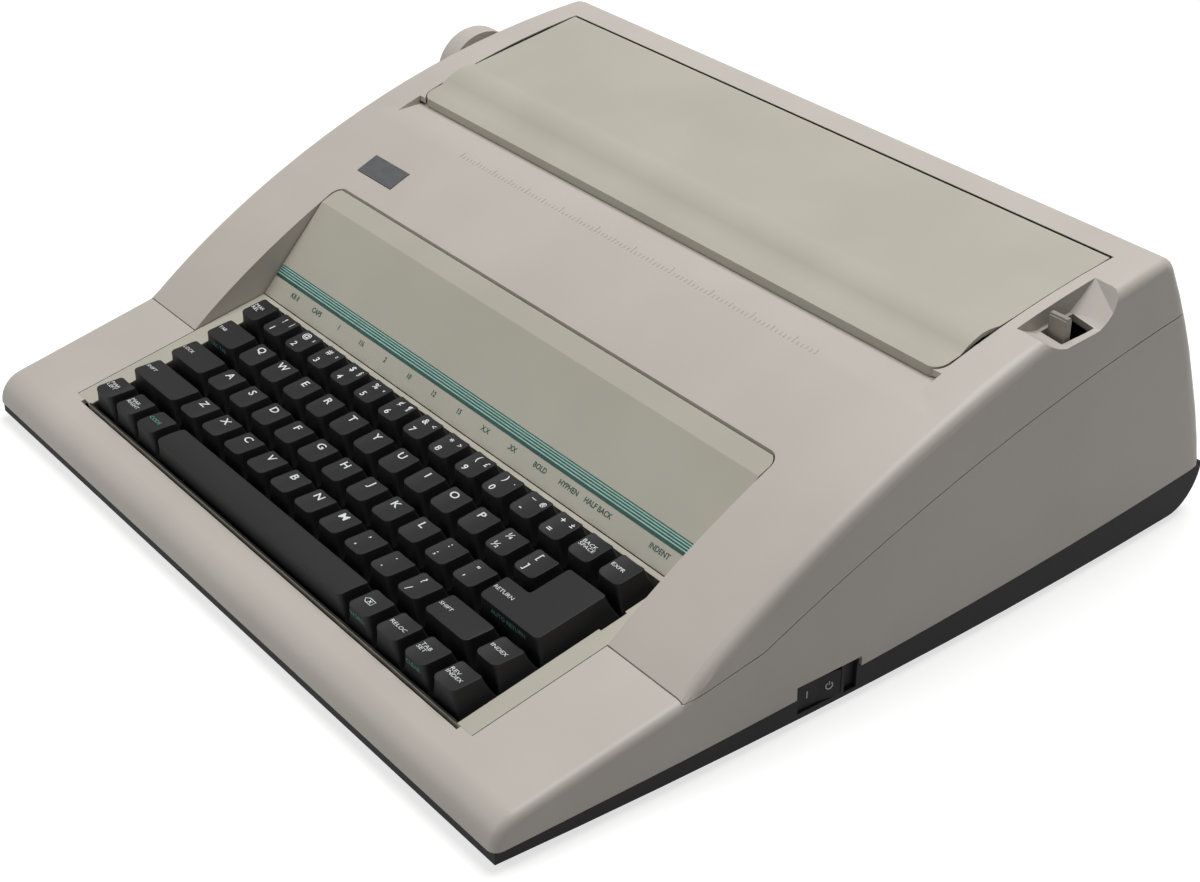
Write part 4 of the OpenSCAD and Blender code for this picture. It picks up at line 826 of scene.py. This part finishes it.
# %% [markdown]
# Words go on two surfaces of a key: on its top, whose height we know at any place, and on its
# front wall. How far the wall leans in at some height is read between the levels that it was
# lofted from, so that the print lies on it all the way.

# %% Places on a cap


def onto_top(key, x, y):
    return lambda p: on_keys(x + p.x, y + p.y, top_height(key, x + p.x, y + p.y) + INK_PROUD + p.z)


def lean_at(rise):
    """How far the wall has leant in at a share of its height, as a share of its full lean."""
    steps = zip(LEVELS, LEVELS[1:] + [(1.0, 1.0)])
    (low_rise, low_lean), (high_rise, high_lean) = next(step for step in steps if rise <= step[1][0])
    return high_lean - (high_lean - low_lean) * (high_rise - rise) / (high_rise - low_rise)


def onto_front(key, x, drop):
    """A place on the front wall of a cap, a little below the top's front edge."""
    def place(p):
        edge = plane_height(key, key["y0"] + FRONT_IN)
        rise = (edge - drop + p.y + CAP_DEEP) / (edge + CAP_DEEP)
        return on_keys(x + p.x, key["y0"] + FRONT_IN * lean_at(rise) - INK_PROUD - p.z,
                       edge - drop + p.y)
    return place


print("halfway up, the front wall leans in by", round(FRONT_IN * lean_at(0.5), 2), "mm")

# %% [markdown]
# A letter stands alone at the upper left of its key. A key with two signs has one above the
# other, and the number row has a third at the right. The names of the function keys are smaller
# and start at the key's left edge. What has to do with the code key is in teal.

# %% The print on the keys
# capital height, how much wider than the font, and the place from the key's middle
LETTER = (3.6, 1.2, -1.9, 3.2)
LOWER_SIGN = (3.1, 1.15, -2.2, -3.5)
UPPER_SIGN = (3.1, 1.1, -2.2, 3.4)
THIRD_SIGN = (2.7, 1.1, 3.7, 3.4)
WORD_SIZE, WORD_WIDTH, WORD_IN = 1.75, 1.3, 1.0
FRONT_SIZE, FRONT_WIDTH, FRONT_DROP = 2.0, 1.15, 3.4


def sign(key, char, kind):
    capital_mm, width, right, up = kind
    return (char, capital_mm, width, True, onto_top(key, key["mid_x"] + right, key["mid_y"] + up))


def key_jobs(key):
    """What is printed on a key in white, and what in teal."""
    white, teal = [], []
    char, word, front = key["char"], key["word"], key["front"]
    if char.isalpha():
        white.append(sign(key, char, LETTER))
    elif char:
        white += [sign(key, char, LOWER_SIGN), sign(key, SHIFTED[char], UPPER_SIGN)]
        if char in THIRD:
            white.append(sign(key, THIRD[char], THIRD_SIGN))
    if word:
        ink = teal if word == "CODE" else white
        place = onto_top(key, key["x0"] + SIDE_IN + WORD_IN, key["word_y"])
        ink.append((word, WORD_SIZE, WORD_WIDTH, False, place))
    if front:
        place = onto_front(key, key["mid_x"], FRONT_DROP)
        teal.append((front, FRONT_SIZE, FRONT_WIDTH, True, place))
    return white, teal


word_count = 0
for node, keys in keyboard.items():
    white, teal = [sum(jobs, []) for jobs in zip(*[key_jobs(key) for key in keys])]
    if white:
        print_words(node + "_white_print", white, white_ink, node + "_body")
    if teal:
        print_words(node + "_teal_print", teal, key_teal_ink, node + "_body")
    word_count += len(white) + len(teal)
print("words and signs on the keys:", word_count)

# %% [markdown]
# The erase key shows a small arrow-shaped tag with a cross in it. The font has no such sign, so
# it is drawn as if with a pen: we give the middle line of each stroke and how wide the pen is.

# %% Drawn signs
ERASE_PEN = 0.35
TAG = [(-2.6, 0), (-1.3, 1.3), (2.4, 1.3), (2.4, -1.3), (-1.3, -1.3)]
CROSS = [[(-0.4, 0.7), (1.2, -0.7)], [(-0.4, -0.7), (1.2, 0.7)]]
TAG_LEFT, TAG_UP = 2.0, 0.5


def strokes(name, lines, width, place, material, body, closed=False):
    """Flat strokes of the given width along the lines, laid on a surface."""
    work = bmesh.new()
    for line in lines:
        count = len(line)
        rows = []
        for i, point in enumerate(line):
            before = line[i - 1] if i or closed else line[i]
            after = line[(i + 1) % count] if i < count - 1 or closed else line[i]
            way = (Vector(after) - Vector(before)).normalized()
            side = Vector((-way.y, way.x)) * width / 2
            corners = [Vector(point) + side, Vector(point) - side]
            rows.append([work.verts.new(place(Vector((c.x, c.y, z)))) for z in (INK_HALF, -INK_HALF)
                         for c in (corners if z > 0 else corners[::-1])])
        pairs = list(zip(rows, rows[1:])) + ([(rows[-1], rows[0])] if closed else [])
        for a, b in pairs:
            for k in range(4):
                work.faces.new((a[k], a[(k + 1) % 4], b[(k + 1) % 4], b[k]))
        if not closed:
            work.faces.new(rows[0][::-1])
            work.faces.new(rows[-1])
    bmesh.ops.recalc_face_normals(work, faces=work.faces)
    make_piece(work, name, material, body)


erase = keyboard["key_erase"][0]
tag_place = onto_top(erase, erase["mid_x"] - TAG_LEFT, erase["mid_y"] + TAG_UP)
strokes("erase_tag", [TAG], ERASE_PEN, tag_place, white_ink, "key_erase_body", closed=True)
strokes("erase_cross", CROSS, ERASE_PEN, tag_place, white_ink, "key_erase_body")
print("strokes in the erase sign:", 1 + len(CROSS))

# %% [markdown]
# The legend panel carries a band of dark green lines with pale teal between them, and a row of
# words that name what the keys do together with the code key. The band is a stack of strips that
# run the whole width of the panel. The words stand over the keys, so their places are counted in
# keys from the middle.

# %% The legend panel's print
PANEL_HALF = 154.0
BAND_EDGES = [10.7, 12.2, 12.75, 13.45, 13.95, 14.6, 15.1, 15.65, 16.15, 16.65]
PANEL_WORDS = [(-7, "KB II"), (-6, "CAPS"), (-5, "1"), (-4, "1½"), (-3, "2"), (-2, "10"), (-1, "12"),
               (0, "15"), (1, "X.X"), (2, ".XX"), (3, "BOLD"), (4, "HYPHEN"), (5, "HALF BACK"),
               (7, "INDENT")]
PANEL_WORD_UP, PANEL_WORD_SIZE = 7.2, 2.35


def on_panel_flat(x, up):
    return lambda p: on_panel(x + p.x, up + p.y, INK_PROUD + p.z)


for i, (low, high) in enumerate(zip(BAND_EDGES, BAND_EDGES[1:])):
    strokes(f"panel_stripe_{i}", [[(-PANEL_HALF, 0), (PANEL_HALF, 0)]], high - low,
            on_panel_flat(0, (low + high) / 2), pale_teal_ink if i % 2 else dark_ink, "root")
jobs = [(word, PANEL_WORD_SIZE, 1.0, True, on_panel_flat(column * PITCH, PANEL_WORD_UP))
        for column, word in PANEL_WORDS]
print_words("panel_words", jobs, dark_ink, "root")
print("strips in the band:", len(BAND_EDGES) - 1)

# %% [markdown]
# In front of the lid, the hood has a scale of raised marks that shows where the next letter will
# land, ten to the inch. They are moulded with the hood, so they have its colour and only show by
# their shadow. They are drawn like the signs, with a pen, and follow the hood's curve.

# %% The paper scale
MARK_COUNT, MARK_LEFT, MARK_STEP = 96, -115, 2.54
EVERY_TENTH, EVERY_FIFTH, OTHERS = 3.6, 2.6, 1.8
MARK_PEN, MARK_Y, MARK_RAISED = 0.45, 204.5, 0.06


def mark(i):
    x = MARK_LEFT + i * MARK_STEP
    length = EVERY_TENTH if i % 10 == 0 else EVERY_FIFTH if i % 5 == 0 else OTHERS
    return [(x, 0), (x, length)]


strokes("paper_scale", [mark(i) for i in range(MARK_COUNT)], MARK_PEN,
        lambda p: on_hood(p.x, MARK_Y + p.y, INK_PROUD + MARK_RAISED + p.z), case_abs, "root")
print("marks in the scale:", MARK_COUNT)

# %% [markdown]
# The gap round the closed lid is dark with shade, and thin black strips in it paint that shade: they are
# painted shade, not parts of the machine. Only their edges show, as the black line round the lid. At the
# sides short bars follow the hood's curve. At the rear the strip is a thin layer on the wall of the
# opening, so that the lid's rear edge can swing past.

# %% The lid's gap: painted shade
LID_HALF, LID_GAP = 174.0, 0.8
LID_REAR, REAR_GAP = 316.4, 1.4
SIDE_FRONT, SIDE_STEP, SIDE_BARS = 231, 8.45, 10
SIDE_CLEAR, SIDE_SUNK, SIDE_DROPS = 0.08, 0.05, (2.2, 0.35)
REAR_SHADE_THICK, REAR_SHADE_SUNK, REAR_SHADE_DROPS = 0.2, 0.05, (1.6, 0.25)
BAR_FACES = ((3, 2, 1, 0), (4, 5, 6, 7), (0, 1, 5, 4), (1, 2, 6, 5), (2, 3, 7, 6), (3, 0, 4, 7))


def bar(work, x0, x1, y0, y1, levels, place):
    """A six-sided bar: its four corners at two levels, each put in its place by a function."""
    verts = [work.verts.new(place(x, y, level)) for level in levels
             for x, y in ((x0, y0), (x1, y0), (x1, y1), (x0, y1))]
    for face in BAR_FACES:
        work.faces.new([verts[i] for i in face])


def under_hood(x, y, drop):
    return at(x, y, hood_z(y) - drop)


def on_rear_wall(x, y, drop):
    return at(x, y, hood_z(LID_REAR + REAR_GAP) - drop)


# black strips that paint the shade in the lid's gap, at both sides and at the rear
work = bmesh.new()
for side in (-1, 1):
    x0, x1 = side * (LID_HALF + SIDE_CLEAR), side * (LID_HALF + LID_GAP + SIDE_SUNK)
    steps = [SIDE_FRONT + i * SIDE_STEP for i in range(SIDE_BARS + 1)]
    for y0, y1 in zip(steps, steps[1:]):
        bar(work, x0, x1, y0, y1, SIDE_DROPS, under_hood)
rear = LID_REAR + REAR_GAP
bar(work, -LID_HALF, LID_HALF, rear - REAR_SHADE_THICK, rear + REAR_SHADE_SUNK, REAR_SHADE_DROPS, on_rear_wall)
bmesh.ops.recalc_face_normals(work, faces=work.faces)
make_piece(work, "lid_gap_shade", shade_black, "root")
print("bars in the lid's seal:", 2 * SIDE_BARS + 1)

# %% [markdown]
# The keyboard opening gets its trims. A lip narrows it at the left, close to the keys. A black strip
# lines its front edge, where the photograph shows a dark line below the space bar: it is painted
# shade. Black strips in the narrow gap round the surround paint the shade in that gap, so that the
# gap reads as a dark line too. One black material serves all these strips.

# %% Trims and painted shade of the keyboard opening
SURROUND_OUT = -6.0
LIP_OUT = (SURROUND_OUT - 0.8, SURROUND_OUT)
# painted shade: the black strip that lines the front edge of the opening
FRONT_SHADE_OUT = (-13.5, SURROUND_OUT + 0.08)
# painted shade: black strips in the narrow gap round the surround
GAP_SHADE_OUT = (-7.4, SURROUND_OUT - 0.05)
GAP_SHADE_IN, GAP_SHADE_EDGE = 154.6, 154.95
GAP_SHADE_FRONT, GAP_SHADE_REAR, GAP_SHADE_WIDE = -30.0, 69.9, 0.4
# name, from left to right, up the slope, out of the keyboard, and the material
TRIMS = [("surround_lip", (-143.3, -142.2), (-29.5, 66.5), LIP_OUT, panel_abs),
         ("front_felt", (-143.2, 145.6), (-30.0, -29.4), FRONT_SHADE_OUT, shade_black),
         ("surround_seal_left", (-GAP_SHADE_EDGE, -GAP_SHADE_IN), (GAP_SHADE_FRONT, GAP_SHADE_REAR), GAP_SHADE_OUT, shade_black),
         ("surround_seal_right", (GAP_SHADE_IN, GAP_SHADE_EDGE), (GAP_SHADE_FRONT, GAP_SHADE_REAR), GAP_SHADE_OUT, shade_black),
         ("surround_seal_rear", (-GAP_SHADE_IN, GAP_SHADE_IN), (GAP_SHADE_REAR - GAP_SHADE_WIDE, GAP_SHADE_REAR), GAP_SHADE_OUT,
          shade_black)]

for name, (x0, x1), (up0, up1), outs, material in TRIMS:
    work = bmesh.new()
    bar(work, x0, x1, up0, up1, outs, on_keys)
    bmesh.ops.recalc_face_normals(work, faces=work.faces)
    make_piece(work, name, material, "root")
print("trims of the keyboard opening:", len(TRIMS))

# %% [markdown]
# The switch in the side wall carries a bar for on, and a broken ring with a bar for standby. Both
# are drawn with the pen and laid on the rocker's hollow face in white. They ride on the rocker, so
# they tip with it.

# %% The switch's signs
ROCKER_OUT, ROCKER_HALF, ROCKER_LEAN = 4.9, 10.3, math.radians(-5)
ROCKER_Y, ROCKER_LOW, ROCKER_HIGH = 146.9, 6.4, 18.2
FACE_OUT, FACE_HOLLOW = 4.55, 0.7
SIGN_AWAY, ON_PEN, STANDBY_PEN = 5.2, 0.5, 0.45
ON_BAR, STANDBY_BAR = [(0, -1.6), (0, 1.6)], [(0, 0.4), (0, 2.0)]
RING_RADIUS, RING_OPEN, RING_STEPS = 1.5, 35, 20

switch_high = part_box("power_rocker")[1]
axis_x = (switch_high.x / MM - SHIFT_X - ROCKER_OUT * math.cos(ROCKER_LEAN)
          + ROCKER_HALF * math.sin(ROCKER_LEAN))
axis_z = (ROCKER_LOW + ROCKER_HIGH) / 2


def on_switch(along):
    """A place on the rocker's face: it is hollow in the middle, and leans with the switch."""
    def place(p):
        y = along + p.x
        x = FACE_OUT + (abs(y) / ROCKER_HALF - 0.5) * FACE_HOLLOW + INK_PROUD + p.z
        return at(axis_x + x * math.cos(ROCKER_LEAN) - y * math.sin(ROCKER_LEAN),
                  ROCKER_Y + x * math.sin(ROCKER_LEAN) + y * math.cos(ROCKER_LEAN), axis_z + p.y)
    return place


turns = [math.radians(RING_OPEN + (360 - 2 * RING_OPEN) * k / RING_STEPS) for k in range(RING_STEPS + 1)]
broken_ring = [(RING_RADIUS * math.sin(t), RING_RADIUS * math.cos(t)) for t in turns]
strokes("switch_on_bar", [ON_BAR], ON_PEN, on_switch(-SIGN_AWAY), white_ink, "rocker")
strokes("switch_standby", [broken_ring, STANDBY_BAR], STANDBY_PEN, on_switch(SIGN_AWAY), white_ink,
        "rocker")
print("the rocker's axis is at x", round(axis_x, 1), "and z", round(axis_z, 1), "mm")

# %% [markdown]
# The floor is a plain pale sheet, and the same paper stands round the studio as a backdrop. A
# photograph on white has its background from the paper, not from more light on the object, so the
# paper glows a little, but only where the camera sees it, also in a reflection or through glass.

# %% Floor and backdrop
PAPER_COLOUR, GLOW_COLOUR, PAPER_GLOW = "#B4B4B2", "#FFFFFF", 0.7
STUDIO_RADIUS, STUDIO_HEIGHT, STUDIO_SIDES = 5.0, 3.0, 96

paper = bpy.data.materials.new("background_paper")
tree = bare_tree(paper)
sheet = add(tree, "ShaderNodeBsdfDiffuse", {"Color": linear(PAPER_COLOUR)})
rays = add(tree, "ShaderNodeLightPath")
seen = add(tree, "ShaderNodeMath", {0: rays.outputs["Is Camera Ray"], 1: rays.outputs["Is Glossy Ray"]})
seen = add(tree, "ShaderNodeMath", {0: seen.outputs[0], 1: rays.outputs["Is Transmission Ray"]})
level = add(tree, "ShaderNodeMath", {0: seen.outputs[0], 1: PAPER_GLOW}, operation="MULTIPLY")
glow = add(tree, "ShaderNodeEmission", {"Color": linear(GLOW_COLOUR), "Strength": level.outputs[0]})
both = add(tree, "ShaderNodeAddShader", {0: sheet.outputs[0], 1: glow.outputs[0]})
add(tree, "ShaderNodeOutputMaterial", {"Surface": both.outputs[0]})

turns = [2 * math.pi * k / STUDIO_SIDES for k in range(STUDIO_SIDES)]
points = [(STUDIO_RADIUS * math.cos(t), STUDIO_RADIUS * math.sin(t), z)
          for z in (0, STUDIO_HEIGHT) for t in turns]
walls = [(k, (k + 1) % STUDIO_SIDES, (k + 1) % STUDIO_SIDES + STUDIO_SIDES, k + STUDIO_SIDES)
         for k in range(STUDIO_SIDES)]
floor_mesh = bpy.data.meshes.new("floor")
floor_mesh.from_pydata(points, [], [tuple(range(STUDIO_SIDES))] + walls)
floor_mesh.materials.append(paper)
floor = bpy.data.objects.new("floor", floor_mesh)
bpy.context.scene.collection.objects.link(floor)
print("the backdrop is", 2 * STUDIO_RADIUS, "m across")

# %% [markdown]
# Two round lamps light the machine: a strong one overhead, and a weak one from the front left that
# opens the shadows between the keys. The room adds a faint even light. The lamps are set so that a
# colour comes out about as it was written, and the plain view transform leaves it so.

# %% Light
ROOM_COLOUR, ROOM_STRENGTH = "#F2F4F6", 0.13
LAMP_AIM = (0, 0, 0.05)
# name, place and size across in metres, and watts
LAMPS = [("softbox_overhead", (0.0, 0.45, 2.2), 1.6, 46),
         ("soft_front", (-0.8, -1.9, 1.2), 1.4, 11)]

bpy.context.scene.view_settings.view_transform = "Standard"
world = bpy.data.worlds.new("studio")
bpy.context.scene.world = world
tree = bare_tree(world)
room = add(tree, "ShaderNodeBackground", {"Color": linear(ROOM_COLOUR), "Strength": ROOM_STRENGTH})
add(tree, "ShaderNodeOutputWorld", {"Surface": room.outputs[0]})

for name, place, size, watts in LAMPS:
    data = bpy.data.lights.new(name, "AREA")
    data.shape, data.size, data.energy = "DISK", size, watts
    lamp = bpy.data.objects.new(name, data)
    lamp.location = place
    lamp.rotation_euler = (Vector(LAMP_AIM) - Vector(place)).to_track_quat("-Z", "Y").to_euler()
    bpy.context.scene.collection.objects.link(lamp)
print("lamps:", len(LAMPS))
